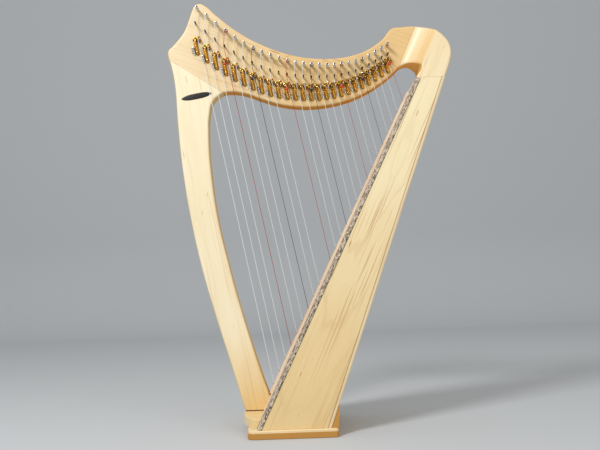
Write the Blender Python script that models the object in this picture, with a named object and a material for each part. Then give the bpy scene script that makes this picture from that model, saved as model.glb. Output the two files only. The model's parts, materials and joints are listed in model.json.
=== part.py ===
# A lever harp in metres, +Z up, standing on its base plate with its levers towards -Y.
# The drawing's x runs from the pillar to the soundbox, and its z starts at the top of the base plate.
# An empty moves the drawing so that the harp's origin is the middle of its bounding box, at the bottom.

import math

import bmesh
import bpy
from mathutils import Matrix, Vector

# Clearances
GAP = 0.0003  # between pieces that meet
STRING_CLEARANCE = 0.0004  # between a raised cam and its string
WINDING_GAP = 0.00045  # between neighbouring turns of a string on its tuning pin
EMBED = 0.0010  # how far a fitting is sunk into the wood that it is fixed to

# Base plate
BASE_THICKNESS = 0.018
BASE_HALF_WIDTH = 0.130
BASE_SETBACK = 0.010  # of its front behind that of the pillar's foot, which overhangs it
BASE_BOW = 0.006  # how far its front stands back at the sides
BASE_CORNER = 0.014
BASE_ROUND_OVER = 0.005
BOW_STEPS = 12  # in the curved fronts of the base plate and the foot
CORNER_STEPS = 4

# Pillar's foot
FOOT_FRONT_X = -0.141
FOOT_HALF_WIDTH = 0.096
FOOT_BOW = 0.024
FOOT_BOW_POWER = 2.5  # how late the bow sets in towards the sides
FOOT_HEIGHT = 0.020
FOOT_ROUND_OVER = 0.003

# Soundbox, whose sides splay out and whose front and back lean towards the player
BOX_HEIGHT = 0.7645
BOX_HALF_FOOT = 0.120
BOX_HALF_TOP = 0.052
BOARD_FOOT_X = -0.1033  # where the front edges of the sides meet the base
BOARD_LEAN = math.radians(26.63)
BACK_FOOT_X = 0.0526  # outer face of the back at the base
BACK_LEAN = math.radians(20.73)
BOARD_WALL = 0.004
SIDE_WALL = 0.006
BACK_WALL = 0.0065
SIDE_ROUND_OVER = 0.0025
BACK_ROUND_OVER = 0.003
BLOCK_HEIGHT = 0.022  # glue block inside, at the foot
HEEL_DEPTH = 0.0145
HEEL_HEIGHT = 0.046
HEEL_TOP = 0.002

# Ribs that clamp the soundboard where the strings pass through it
RIB_HALF_WIDTH = 0.010
RIB_WALL = 0.004
INNER_RIB_WALL = 0.006
RIB_MARGIN = 0.022  # beyond the first and the last string

# Sound holes in the back
SOUND_HOLES = 4
SOUND_HOLE_HALF_WIDTH = 0.034
SOUND_HOLE_HALF_HEIGHT = 0.048
SOUND_HOLE_SHRINK = 0.80  # of each hole to the one below it
SOUND_HOLE_FIRST_UP = 0.165
SOUND_HOLE_SPACING = 0.155
SOUND_HOLE_SIDES = 20

# Pillar, neck and shoulder, sawn to one outline and parted by straight seams. The neck's and the
# shoulder's points are measured from the soundbox's top front corner. The pillar's are shares of the
# way up a straight line from its foot to the neck, and how far they lie to the left of it.
NECK_FACE_Y = 0.0
NECK_THICKNESS = 0.038
NECK_ROUND_OVER = 0.005
COVE_LENGTH = 0.046  # over which the shoulder flares from the neck to the soundbox
COVE_STATIONS = 4
SEAM_PILLAR = ((-0.5710, 0.0735), (-0.4870, 0.0175))
SEAM_SHOULDER = ((0.0060, 0.1310), (-0.0320, 0.0480))
PILLAR_OUTER_FOOT = (-0.127, -0.020)
PILLAR_INNER_FOOT = (-0.055, -0.020)
PILLAR_OUTER = (
    (0.000, 0.0000),
    (0.060, 0.0050),
    (0.172, 0.0132),
    (0.302, 0.0234),
    (0.431, 0.0307),
    (0.560, 0.0309),
    (0.689, 0.0250),
    (0.816, 0.0123),
    (0.923, -0.0010),
    (0.975, -0.0019),
)
NECK_HEAD = (
    (-0.5760, 0.0845),
    (-0.5750, 0.0975),
    (-0.5660, 0.1065),
    (-0.5541, 0.1191),
    (-0.5370, 0.1415),
    (-0.5250, 0.1695),
    (-0.5170, 0.1915),
    (-0.5110, 0.2025),
    (-0.5000, 0.2075),
    (-0.4870, 0.2025),
)
NECK_TOP = (
    (-0.4610, 0.1785),
    (-0.4060, 0.1335),
    (-0.3500, 0.1015),
    (-0.2940, 0.0793),
    (-0.2380, 0.0675),
    (-0.1820, 0.0655),
    (-0.1440, 0.0707),
    (-0.1049, 0.0844),
    (-0.0706, 0.1078),
    (-0.0479, 0.1322),
)
SHOULDER_TOP = (
    (-0.0479, 0.1322),
    (-0.0280, 0.1343),
    (0.0090, 0.1348),
    (0.0305, 0.1272),
    (0.0480, 0.1128),
    (0.0650, 0.0970),
    (0.0767, 0.0780),
    (0.0795, 0.0555),
    (0.0744, 0.0333),
)
ARCH = (
    (0.0100, 0.0285),
    (0.0022, 0.0385),
    (-0.0088, 0.0443),
    (-0.0187, 0.0448),
    (-0.0353, 0.0379),
)
NECK_BOTTOM = (
    (-0.0450, 0.0285),
    (-0.0835, -0.0008),
    (-0.1248, -0.0234),
    (-0.1641, -0.0374),
    (-0.2222, -0.0476),
    (-0.2806, -0.0467),
    (-0.3190, -0.0395),
    (-0.3576, -0.0269),
    (-0.3946, -0.0126),
    (-0.4294, -0.0064),
    (-0.4478, -0.0082),
    (-0.4613, -0.0155),
    (-0.4744, -0.0287),
)
PILLAR_INNER = (
    (0.000, 0.0000),
    (0.027, 0.0022),
    (0.119, 0.0156),
    (0.193, 0.0232),
    (0.343, 0.0349),
    (0.491, 0.0419),
    (0.640, 0.0448),
    (0.788, 0.0378),
    (0.898, 0.0257),
    (0.968, 0.0122),
)

# Strings, counted from the longest. The course left bare has its pins and its lever and no string.
COURSES = 25
BARE_COURSE = 10
STRING_BASS_DIAMETER = 0.0013
STRING_TREBLE_DIAMETER = 0.0007
STRING_SIDES = 5
FIRST_STRING_UP = 0.086  # along the soundboard from the base
LAST_STRING_MARGIN = 0.051  # from the soundboard's top edge
FEET_CROWDING = 0.063  # towards the treble
STRING_HOLE_RADIUS = 0.002
STRING_HOLE_SIDES = 6
STRING_OUT = 0.012  # from the neck's face, at the bridge pins

# Bridge pins stand on one curve and tuning pins on another, closer together towards the treble.
# Both are measured from the soundbox's top front corner.
BRIDGE_LINE = (
    (-0.5080, 0.1565),
    (-0.4630, 0.1165),
    (-0.3990, 0.0705),
    (-0.3380, 0.0395),
    (-0.2800, 0.0245),
    (-0.2250, 0.0185),
    (-0.1750, 0.0215),
    (-0.1260, 0.0345),
    (-0.0620, 0.0675),
)
TUNING_LINE = (
    (-0.5030, 0.1915),
    (-0.4580, 0.1525),
    (-0.3950, 0.1035),
    (-0.3350, 0.0735),
    (-0.2790, 0.0545),
    (-0.2240, 0.0465),
    (-0.1710, 0.0465),
    (-0.1210, 0.0565),
    (-0.0620, 0.0895),
)
PIN_CROWDING = 0.224
BRIDGE_PIN_RADIUS = 0.0020
BRIDGE_GROOVE_RADIUS = 0.0015
BRIDGE_GROOVE_HALF = 0.0013
BRIDGE_PIN_OUT = 0.0210
BRIDGE_PIN_SIDES = 6

# Tuning pins
PIN_RADIUS = 0.0032
PIN_DEPTH = 0.028
PIN_OUT = 0.0260
PIN_SQUARE_OUT = 0.0195
PIN_SQUARE_HALF = 0.0022
PIN_HOLE_SPARE = 0.002
PIN_SIDES = 8
WINDING_TURNS = 2
WINDING_SIDES = 4
WINDING_OFF_PIN = 0.0001
WINDING_SUNK = 0.4  # where its end stops inside the pin, as a share of its radius

# Levers, each in a bracket on the neck. Across runs at right angles to the string.
LEVER_DROP = 0.0107  # from the bridge pin to the axle, with a share of the speaking length
LEVER_DROP_SHARE = 0.0314
PLATE_THICKNESS = 0.0016
PLATE_LEFT = -0.0070
PLATE_RIGHT = 0.0040
PLATE_ABOVE = 0.0085
PLATE_BELOW_BASS = 0.0330
PLATE_BELOW_TREBLE = 0.0200
CHEEK_SETBACK = 0.0003  # from the plate's long edges
CHEEK_WALL = 0.0014
CHEEK_HALF = 0.0045
CHEEK_TOP = 0.0093
CHEEK_SHOULDER = 0.0068  # where its corners are cut off
AXLE_OUT = 0.0055
AXLE_RADIUS = 0.0010
AXLE_SIDES = 6
HUB_RADIUS = 0.0026
HUB_POINTS = 7
CAM_HALF_ANGLE = math.radians(24)
ARM_WIDTH = 0.0027
ARM_THICKNESS = 0.0030
ARM_LENGTH = 0.0155
ARM_FROM_STRING = 0.0019
TIP_LENGTH = 0.0085
TIP_WIDTH = 0.0050
TIP_THICKNESS = 0.0050
TIP_ROUND_OVER = 0.0012
FRET_UP = 0.0066
FRET_HALF_WIDTH = 0.0013
FRET_HALF_LENGTH = 0.0009
LEVER_REST_ANGLE = math.radians(-35)  # of the handle, from straight out of the neck
LEVER_TRAVEL = math.radians(100)


def between(a, b, share):
    return a + (b - a) * share


def smooth(points, steps):
    """A Catmull-Rom curve through the points, without its last point."""
    points = [Vector(p) for p in points]
    ends = [2 * points[0] - points[1]] + points + [2 * points[-1] - points[-2]]
    curve = []
    for before, start, stop, after in zip(ends, ends[1:], ends[2:], ends[3:]):
        for step in range(steps):
            t = step / steps
            curve.append(
                start
                + 0.5 * t * (stop - before)
                + t * t * (before - 2.5 * start + 2 * stop - 0.5 * after)
                + t * t * t * (-0.5 * before + 1.5 * start - 1.5 * stop + 0.5 * after)
            )
    return curve


def height_on(line, x):
    """The height of a curve through the line's points, at x."""
    spans = [
        (b[0] - a[0], (b[1] - a[1]) / (b[0] - a[0])) for a, b in zip(line, line[1:])
    ]
    slopes = [spans[0][1]]
    slopes += [(a[1] + b[1]) / 2 for a, b in zip(spans, spans[1:])]
    slopes += [spans[-1][1]]
    i = max(k for k in range(len(spans)) if k == 0 or line[k][0] <= x)
    width = spans[i][0]
    t = (x - line[i][0]) / width
    return (
        (1 + 2 * t) * (1 - t) ** 2 * line[i][1]
        + t * (1 - t) ** 2 * width * slopes[i]
        + t * t * (3 - 2 * t) * line[i + 1][1]
        + t * t * (t - 1) * width * slopes[i + 1]
    )


# The soundbox's planes


def half_width(z):
    return between(BOX_HALF_FOOT, BOX_HALF_TOP, z / BOX_HEIGHT)


def board_x(z, out=0.0):
    """A plane parallel to the soundboard, out in front of the front edges of the sides."""
    return BOARD_FOOT_X + z * math.tan(BOARD_LEAN) - out / math.cos(BOARD_LEAN)


def back_x(z, inside=0.0):
    """A plane parallel to the back, inside its outer face."""
    return BACK_FOOT_X + z * math.tan(BACK_LEAN) - inside / math.cos(BACK_LEAN)


BOARD_FACE = GAP + BOARD_WALL  # out from the sides' front edges
RIB_FACE = BOARD_FACE + RIB_WALL
BOARD_UP = Vector((math.sin(BOARD_LEAN), 0, math.cos(BOARD_LEAN)))
BOARD_OUT = Vector((-math.cos(BOARD_LEAN), 0, math.sin(BOARD_LEAN)))
BACK_UP = Vector((math.sin(BACK_LEAN), 0, math.cos(BACK_LEAN)))
BACK_OUT = Vector((math.cos(BACK_LEAN), 0, -math.sin(BACK_LEAN)))
LAST_STRING_UP = BOX_HEIGHT / math.cos(BOARD_LEAN) - LAST_STRING_MARGIN


def from_corner(points):
    """Points measured from the soundbox's top front corner, in the drawing."""
    return [(board_x(BOX_HEIGHT) + x, BOX_HEIGHT + z) for x, z in points]


def bowed(line, bottom, top):
    """The points of a line of shares and bows that runs from bottom to top."""
    run = Vector(top) - Vector(bottom)
    left = Vector((-run.y, run.x)).normalized()
    return [Vector(bottom) + run * up + left * bow for up, bow in line]


def on_board(up, out):
    return Vector((BOARD_FOOT_X, 0, 0)) + up * BOARD_UP + out * BOARD_OUT


CHEEK_RIGHT = PLATE_RIGHT - CHEEK_SETBACK

# Mesh helpers


def around(angle, radius):
    return Vector((math.cos(angle), math.sin(angle))) * radius


def to_mesh(bm, name):
    bmesh.ops.recalc_face_normals(bm, faces=bm.faces)
    mesh = bpy.data.meshes.new(name)
    bm.to_mesh(mesh)
    bm.free()
    return mesh


def lofted(rings, name):
    """One closed body through rings of as many points each, capped at both ends."""
    bm = bmesh.new()
    loops = [[bm.verts.new(point) for point in ring] for ring in rings]
    count = len(loops[0])
    for a, b in zip(loops, loops[1:]):
        for i in range(count):
            j = (i + 1) % count
            bm.faces.new((a[i], a[j], b[j], b[i]))
    bm.faces.new(reversed(loops[0]))
    bm.faces.new(loops[-1])
    return to_mesh(bm, name)


def prism(outline, depth_axis, start, stop, name):
    """An outline of 3-D points, pushed along an axis from start to stop."""
    rings = [[Vector(p) + depth_axis * d for p in outline] for d in (start, stop)]
    return lofted(rings, name)


def box(low, high, name):
    outline = [(low[0], 0, low[2]), (high[0], 0, low[2]), (high[0], 0, high[2]), (low[0], 0, high[2])]
    return prism(outline, Vector((0, 1, 0)), low[1], high[1], name)


def joined(meshes, name):
    """Bodies that don't touch each other, in one mesh."""
    bm = bmesh.new()
    for mesh in meshes:
        bm.from_mesh(mesh)
        bpy.data.meshes.remove(mesh)
    return to_mesh(bm, name)


def placed(mesh, matrix):
    mesh.transform(matrix)
    return mesh


def combined(base, other, operation, solver="EXACT"):
    """The first mesh united with the second, or cut by it."""
    body = bpy.data.objects.new("body", base)
    tool = bpy.data.objects.new("tool", other)
    for helper in (body, tool):
        bpy.context.scene.collection.objects.link(helper)
    boolean = body.modifiers.new(operation, "BOOLEAN")
    boolean.operation = operation
    boolean.solver = solver
    boolean.object = tool
    graph = bpy.context.evaluated_depsgraph_get()
    result = bpy.data.meshes.new_from_object(body.evaluated_get(graph))
    for helper in (body, tool):
        mesh = helper.data
        bpy.data.objects.remove(helper)
        bpy.data.meshes.remove(mesh)
    return result


def inset(outline, distance):
    """The outline drawn in by a distance. It runs clockwise as seen from -Y."""
    drawn_in = []
    for before, point, after in zip(outline[-1:] + outline[:-1], outline, outline[1:] + outline[:1]):
        first = (point - before).normalized()
        second = (after - point).normalized()
        inward = Vector((first.y, -first.x)) + Vector((second.y, -second.x))
        drawn_in.append(point + inward * distance / (1 + first.dot(second)))
    return drawn_in


def rounded_rings(outline, low, high, round_over):
    """Rings of a slab between two depths whose long edges are rounded over in two facets."""
    facet = round_over * (1 - math.sqrt(0.5))
    edge = ((round_over, 0.0), (facet, facet), (0.0, round_over))
    rings = [(inset(outline, drawn), low + depth) for drawn, depth in edge]
    rings += [(inset(outline, drawn), high - depth) for drawn, depth in reversed(edge)]
    return [[(p.x, y, p.y) for p in ring] for ring, y in rings]


def kept(bm, point, normal):
    """Cuts along a plane and keeps what lies behind it, with the cut closed."""
    geometry = bm.verts[:] + bm.edges[:] + bm.faces[:]
    bmesh.ops.bisect_plane(
        bm, geom=geometry, dist=1e-7, plane_co=point, plane_no=normal, clear_outer=True
    )
    bmesh.ops.holes_fill(bm, edges=bm.edges[:], sides=0)


def sawn(outline, low, high, round_over, cuts, name):
    """A slab of the outline, parted at each plane of cuts."""
    bm = bmesh.new()
    bm.from_mesh(lofted(rounded_rings(outline, low, high, round_over), name))
    bmesh.ops.triangulate(bm, faces=bm.faces[:])
    for point, normal in cuts:
        kept(bm, point, normal)
    return bm


def seam(ends, side, gap=GAP):
    """The plane through two points of the outline, half a gap towards one side of it."""
    a, b = (Vector((x, 0, z)) for x, z in from_corner(ends))
    along = (b - a).normalized()
    normal = Vector((-along.z, 0, along.x))
    if normal.z < 0:
        normal.negate()
    return a - side * normal * gap / 2, normal * side


def tube(points, radius, sides, name, edges=None):
    """A closed tube along the points. Edges, if given, says where its first long edge faces at each point."""
    points = [Vector(p) for p in points]
    tangents = [(b - a).normalized() for a, b in zip(points, points[1:])]
    across = tangents[0].orthogonal().normalized()
    rings = []
    for i, point in enumerate(points):
        before = tangents[max(i - 1, 0)]
        after = tangents[min(i, len(tangents) - 1)]
        middle = (before + after).normalized()
        if edges:
            across = edges[i]
        across = (across - across.dot(middle) * middle).normalized()
        other = middle.cross(across)
        ring = []
        for k in range(sides):
            angle = 2 * math.pi * k / sides
            ring.append(point + radius * (math.cos(angle) * across + math.sin(angle) * other))
        rings.append(ring)
    return lofted(rings, name)


def least_gap(points, diameter, apart):
    """The least clear distance between points of a coil that are at least so many points apart."""
    least = min(
        (points[i] - points[j]).length
        for i in range(len(points))
        for j in range(i + apart, len(points))
    )
    return least - diameter


# Objects and materials


def material(name, colour, roughness, metallic=0.0):
    made = bpy.data.materials.new(name)
    made.use_nodes = True
    shader = made.node_tree.nodes["Principled BSDF"]
    shader.inputs["Base Color"].default_value = (*colour, 1)
    shader.inputs["Roughness"].default_value = roughness
    shader.inputs["Metallic"].default_value = metallic
    made.diffuse_color = (*colour, 1)
    return made


def add(name, mesh, finish, parent, place=None, round_piece=False):
    """One named sub-part under the empty, with its own material."""
    piece = bpy.data.objects.new(name, mesh)
    bpy.context.scene.collection.objects.link(piece)
    piece.parent = parent
    if place is not None:
        piece.matrix_local = place
    mesh.materials.clear()
    mesh.materials.append(finish)
    if round_piece:
        mesh.shade_smooth()
        mesh.set_sharp_from_angle(angle=math.radians(40))
    return piece


# Where the courses run


def share(course):
    return (course - 1) / (COURSES - 1)


def crowded(course, crowding):
    """The share of the way from the first course to the last, where they stand closer in the treble."""
    part = share(course)
    return part * (1 + crowding - crowding * part)


def pin_place(line, course):
    line = from_corner(line)
    x = between(line[0][0], line[-1][0], crowded(course, PIN_CROWDING))
    return Vector((x, 0, height_on(line, x)))


def string_diameter(course):
    return between(STRING_BASS_DIAMETER, STRING_TREBLE_DIAMETER, share(course))


def string_foot(course):
    return on_board(between(FIRST_STRING_UP, LAST_STRING_UP, crowded(course, FEET_CROWDING)), RIB_FACE)


def left_of(point, centre, radius):
    """Where the line from a point below touches the left side of a circle about centre."""
    to_centre = (centre - point).xz
    turn = math.asin(radius / to_centre.length)
    along = to_centre.normalized()
    along.rotate(Matrix.Rotation(turn, 2))
    reach = math.sqrt(to_centre.length_squared - radius**2)
    return point + Vector((along.x, 0, along.y)) * reach


def winding_radius(course):
    return PIN_RADIUS + string_diameter(course) / 2 + WINDING_OFF_PIN


def winding_reach(course):
    """How far the winding and its straight end reach from the pin's axis as it turns."""
    diameter = string_diameter(course)
    return math.hypot(winding_radius(course) + diameter / 2, diameter)


class Course:
    """The places of one string, its two pins and its lever, in the drawing."""

    def __init__(self, number):
        self.number = number
        self.diameter = string_diameter(number)
        self.bridge = pin_place(BRIDGE_LINE, number)
        self.tuning = pin_place(TUNING_LINE, number)
        self.foot = string_foot(number)
        self.bend = BRIDGE_GROOVE_RADIUS + GAP + self.diameter / 2
        flat_foot = Vector((self.foot.x, 0, self.foot.z))
        self.contact = left_of(flat_foot, self.bridge, self.bend)
        self.up = (self.contact - flat_foot).normalized()
        self.across = Vector((self.up.z, 0, -self.up.x))
        self.face_y = NECK_FACE_Y - STRING_OUT
        self.length = (self.contact - flat_foot).length
        leaving = winding_reach(number) + GAP + self.diameter / 2
        self.upper_end = self.tangent_above(leaving)
        self.winding_start = self.tangent_above(winding_radius(number))

    def tangent_above(self, radius):
        """Where the string, leaving the bridge pin on the left, would touch a circle about the tuning pin."""
        axis = (self.tuning - self.bridge).xz
        turn = math.asin((radius - self.bend) / axis.length)
        normal = Vector((-axis.y, axis.x)).normalized()
        normal.rotate(Matrix.Rotation(-turn, 2))
        side = Vector((normal.x, 0, normal.y))
        self.leaving = self.bridge + side * self.bend
        return self.tuning + side * radius

    def string_y(self, down):
        """The string's depth at a distance down from the bridge pin."""
        return between(self.face_y, 0.0, down / self.length)

    def axle_drop(self):
        return LEVER_DROP + LEVER_DROP_SHARE * self.length

    def axle(self):
        place = self.contact - self.up * self.axle_drop()
        place.y = NECK_FACE_Y - AXLE_OUT
        return place

    def lever_matrix(self):
        """Local x runs across the string, y into the neck and z up along the string."""
        turn = Matrix((self.across, (0, 1, 0), self.up)).transposed()
        return Matrix.Translation(self.axle()) @ turn.to_4x4()

    def bracket_matrix(self):
        place = self.axle()
        place.y = NECK_FACE_Y
        return Matrix.Translation(place) @ self.lever_matrix().to_3x3().to_4x4()

    def cam_radius(self):
        """A raised cam stops just short of the string."""
        string_out = NECK_FACE_Y - self.string_y(self.axle_drop())
        return string_out - self.diameter / 2 - STRING_CLEARANCE - AXLE_OUT


def frame_outline():
    """The pillar, neck and shoulder in one outline, clockwise as seen from -Y."""
    head = from_corner(NECK_HEAD)
    arch = from_corner(ARCH)
    bottom = from_corner(NECK_BOTTOM)
    outer = bowed(PILLAR_OUTER, PILLAR_OUTER_FOOT, head[0])
    inner = bowed(PILLAR_INNER, PILLAR_INNER_FOOT, bottom[-1])[::-1]
    below = BOX_HEIGHT - 3 * NECK_ROUND_OVER
    back_foot = (back_x(below), below)
    arch_foot = (board_x(below, BOARD_FACE), below)
    outline = smooth([*outer, *head, *from_corner(NECK_TOP)], 2)
    outline += smooth([*from_corner(SHOULDER_TOP), (back_x(BOX_HEIGHT), BOX_HEIGHT), back_foot], 2)
    outline += [Vector(back_foot)]
    outline += smooth([arch_foot, (board_x(BOX_HEIGHT, BOARD_FACE), BOX_HEIGHT), *arch], 2)
    outline += smooth([arch[-1], *bottom, *inner], 2)
    outline += [inner[-1]]
    return outline


# Sub-parts of wood


def solid_between(z_low, z_high, front, rear, near, far, name):
    """A block whose front, rear and side faces are given by their places at a height."""
    rings = []
    for z in (z_low, z_high):
        rings.append(
            [
                (front(z), near(z), z),
                (rear(z), near(z), z),
                (rear(z), far(z), z),
                (front(z), far(z), z),
            ]
        )
    return lofted(rings, name)


def rounded_along(mesh, keep, width):
    """Rounds over the edges that the test keeps."""
    bm = bmesh.new()
    bm.from_mesh(mesh)
    edges = [edge for edge in bm.edges if keep(edge)]
    bmesh.ops.bevel(bm, geom=edges, offset=width, segments=2, profile=0.5, affect="EDGES")
    bm.to_mesh(mesh)
    bm.free()
    return mesh


def make_base(finish, parent):
    """The plate, the glue block that stands inside the soundbox and the heel behind it."""
    rear_x = BACK_FOOT_X + HEEL_DEPTH
    front_x = FOOT_FRONT_X + BASE_SETBACK
    bow = []
    reach = BASE_HALF_WIDTH - BASE_CORNER
    for step in range(BOW_STEPS + 1):
        y = between(-reach, reach, step / BOW_STEPS)
        bow.append(Vector((front_x + BASE_BOW * (y / BASE_HALF_WIDTH) ** 2, y)))
    corner_x = bow[0].x + BASE_CORNER
    plan = [*bow]
    for step in range(1, CORNER_STEPS + 1):
        angle = math.radians(180 - 90 * step / CORNER_STEPS)
        plan.append(Vector((corner_x, reach)) + around(angle, BASE_CORNER))
    for sign, start in ((1, 90), (-1, 0)):
        for step in range(CORNER_STEPS + 1):
            angle = math.radians(start - 90 * step / CORNER_STEPS)
            centre = Vector((rear_x - BASE_CORNER / 2, sign * (BASE_HALF_WIDTH - BASE_CORNER / 2)))
            plan.append(centre + around(angle, BASE_CORNER / 2))
    for step in range(CORNER_STEPS):
        angle = math.radians(-90 - 90 * step / CORNER_STEPS)
        plan.append(Vector((corner_x, -reach)) + around(angle, BASE_CORNER))
    facet = BASE_ROUND_OVER * (1 - math.sqrt(0.5))
    levels = (
        (facet, -BASE_THICKNESS),
        (0.0, -BASE_THICKNESS + facet),
        (0.0, -BASE_ROUND_OVER),
        (facet, -facet),
        (BASE_ROUND_OVER, 0.0),
    )
    rings = [[(p.x, p.y, z) for p in inset(plan, drawn)] for drawn, z in levels]
    plate = lofted(rings, "base")

    def inner(z):
        return half_width(z) - SIDE_WALL - GAP

    block = solid_between(
        -EMBED,
        BLOCK_HEIGHT,
        lambda z: board_x(z) + GAP,
        lambda z: back_x(z, BACK_WALL + GAP),
        lambda z: -inner(z),
        inner,
        "block",
    )
    heel = solid_between(
        -EMBED,
        HEEL_HEIGHT,
        lambda z: back_x(z) + GAP,
        lambda z: between(rear_x, back_x(HEEL_HEIGHT) + HEEL_TOP, max(z, 0) / HEEL_HEIGHT),
        lambda z: -half_width(z),
        half_width,
        "heel",
    )
    whole = combined(combined(plate, block, "UNION"), heel, "UNION")
    return add("base", whole, finish, parent)


def make_foot(finish, parent):
    """The bowed block under the pillar, whose rear face lies against the soundboard."""
    rings = []
    for z, drawn in (
        (GAP, 0.0),
        (FOOT_HEIGHT - FOOT_ROUND_OVER, 0.0),
        (FOOT_HEIGHT - FOOT_ROUND_OVER / 4, FOOT_ROUND_OVER / 4),
        (FOOT_HEIGHT, FOOT_ROUND_OVER),
    ):
        rear = board_x(z, BOARD_FACE + GAP)
        ring = [(rear, FOOT_HALF_WIDTH - drawn, z), (rear, -FOOT_HALF_WIDTH + drawn, z)]
        for step in range(BOW_STEPS + 1):
            y = between(-1, 1, step / BOW_STEPS) * (FOOT_HALF_WIDTH - drawn)
            bow = FOOT_BOW * abs(y / FOOT_HALF_WIDTH) ** FOOT_BOW_POWER
            ring.append((FOOT_FRONT_X + drawn + bow, y, z))
        rings.append(ring)
    return add("pillar_foot", lofted(rings, "pillar_foot"), finish, parent)


def make_pillar(outline, finish, parent):
    board = on_board(0, BOARD_FACE + GAP)
    cuts = [
        seam(SEAM_PILLAR, 1),
        (Vector((0, 0, FOOT_HEIGHT + GAP)), Vector((0, 0, -1))),
        (board, -BOARD_OUT),
    ]
    bm = sawn(outline, NECK_FACE_Y, NECK_FACE_Y + NECK_THICKNESS, NECK_ROUND_OVER, cuts, "pillar")
    return add("pillar", to_mesh(bm, "pillar"), finish, parent, round_piece=True)


def make_shoulder(outline, finish, parent):
    """The block that joins the neck to the soundbox, flared on both sides in a cove."""
    start, toward_neck = seam(SEAM_SHOULDER, -1)
    if toward_neck.x > 0:
        start, toward_neck = seam(SEAM_SHOULDER, 1)
    cuts = [
        seam(SEAM_PILLAR, -1, 0.0),
        (start, toward_neck),
        (Vector((0, 0, BOX_HEIGHT)), Vector((0, 0, -1))),
    ]
    bm = sawn(outline, -1, 1, NECK_ROUND_OVER, cuts, "shoulder_block")
    for step in range(1, COVE_STATIONS + 1):
        bmesh.ops.bisect_plane(
            bm,
            geom=bm.verts[:] + bm.edges[:] + bm.faces[:],
            dist=1e-7,
            plane_co=start - toward_neck * COVE_LENGTH * step / COVE_STATIONS,
            plane_no=toward_neck,
        )
    for vert in bm.verts:
        along = (start - vert.co).dot(toward_neck) / COVE_LENGTH
        flare = 1 - math.cos(min(max(along, 0), 1) * math.pi / 2)
        width = half_width(vert.co.z)
        near = between(NECK_FACE_Y, -width, flare) + NECK_ROUND_OVER
        far = between(NECK_FACE_Y + NECK_THICKNESS, width, flare) - NECK_ROUND_OVER
        flat = 1 - NECK_ROUND_OVER
        if vert.co.y < -flat:
            vert.co.y += flat + near
        elif vert.co.y > flat:
            vert.co.y += far - flat
        else:
            vert.co.y = between(near, far, (vert.co.y + flat) / (2 * flat))
    return add("shoulder_block", to_mesh(bm, "shoulder_block"), finish, parent, round_piece=True)


def make_soundboard(courses, finish, parent):
    """The board with its outer rib, and a hole for each course's string."""
    board = solid_between(
        GAP,
        BOX_HEIGHT - GAP,
        lambda z: board_x(z, BOARD_FACE),
        lambda z: board_x(z, GAP),
        lambda z: -half_width(z),
        half_width,
        "soundboard",
    )
    rib = rib_mesh(BOARD_FACE - EMBED, RIB_FACE, RIB_HALF_WIDTH, "rib")
    holes = []
    for course in courses:
        hole = []
        for step in range(STRING_HOLE_SIDES):
            angle = 2 * math.pi * step / STRING_HOLE_SIDES
            across = Vector((0, math.cos(angle), 0)) + BOARD_UP * math.sin(angle)
            hole.append(course.foot + across * STRING_HOLE_RADIUS)
        holes.append(prism(hole, BOARD_OUT, -RIB_FACE - EMBED, EMBED, "hole"))
    whole = combined(board, rib, "UNION")
    whole = combined(whole, joined(holes, "holes"), "DIFFERENCE")
    return add("soundboard", whole, finish, parent)


def rib_mesh(low, high, half, name):
    """A straight strip along the soundboard's middle, between two distances out from the sides."""
    start = FIRST_STRING_UP - RIB_MARGIN
    stop = LAST_STRING_UP + RIB_MARGIN
    outline = [on_board(up, out) for up, out in ((start, low), (start, high), (stop, high), (stop, low))]
    return prism(outline, Vector((0, 1, 0)), -half, half, name)


def make_side(name, side, finish, parent):
    def outer(z):
        return side * half_width(z)

    def inner(z):
        return side * (half_width(z) - SIDE_WALL)

    panel = solid_between(
        GAP,
        BOX_HEIGHT - GAP,
        board_x,
        lambda z: back_x(z, BACK_WALL + GAP),
        outer if side < 0 else inner,
        inner if side < 0 else outer,
        name,
    )

    def long_outer(edge):
        a, b = (vert.co for vert in edge.verts)
        outside = all(abs(abs(p.y) - half_width(p.z)) < 1e-5 for p in (a, b))
        return outside and abs(a.z - b.z) > BOX_HEIGHT / 2

    return add(name, rounded_along(panel, long_outer, SIDE_ROUND_OVER), finish, parent)


def make_back(finish, parent):
    """The back panel, lying on the rear edges of the sides, with its sound holes."""
    panel = solid_between(
        GAP,
        BOX_HEIGHT - GAP,
        lambda z: back_x(z, BACK_WALL),
        back_x,
        lambda z: -half_width(z),
        half_width,
        "back_panel",
    )

    def rear_edge(edge):
        a, b = (vert.co for vert in edge.verts)
        rear = all(abs(p.x - back_x(p.z)) < 1e-5 for p in (a, b))
        return rear and abs(a.z - b.z) > BOX_HEIGHT / 2

    panel = rounded_along(panel, rear_edge, BACK_ROUND_OVER)
    holes = []
    for number in range(SOUND_HOLES):
        size = SOUND_HOLE_SHRINK**number
        centre = Vector((BACK_FOOT_X, 0, 0)) + BACK_UP * (SOUND_HOLE_FIRST_UP + SOUND_HOLE_SPACING * number)
        outline = []
        for step in range(SOUND_HOLE_SIDES):
            angle = 2 * math.pi * step / SOUND_HOLE_SIDES
            across = Vector((0, SOUND_HOLE_HALF_WIDTH * size * math.cos(angle), 0))
            outline.append(centre + across + BACK_UP * SOUND_HOLE_HALF_HEIGHT * size * math.sin(angle))
        holes.append(prism(outline, BACK_OUT, -2 * BACK_WALL, BACK_WALL, "sound_hole"))
    whole = combined(panel, joined(holes, "sound_holes"), "DIFFERENCE")
    return add("back_panel", whole, finish, parent)


# The neck and what is fixed to it


def ring_about(centre, radius, y, sides, phase=0.0):
    ring = []
    for step in range(sides):
        angle = phase + 2 * math.pi * step / sides
        ring.append((centre.x + radius * math.cos(angle), y, centre.z + radius * math.sin(angle)))
    return ring


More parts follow.
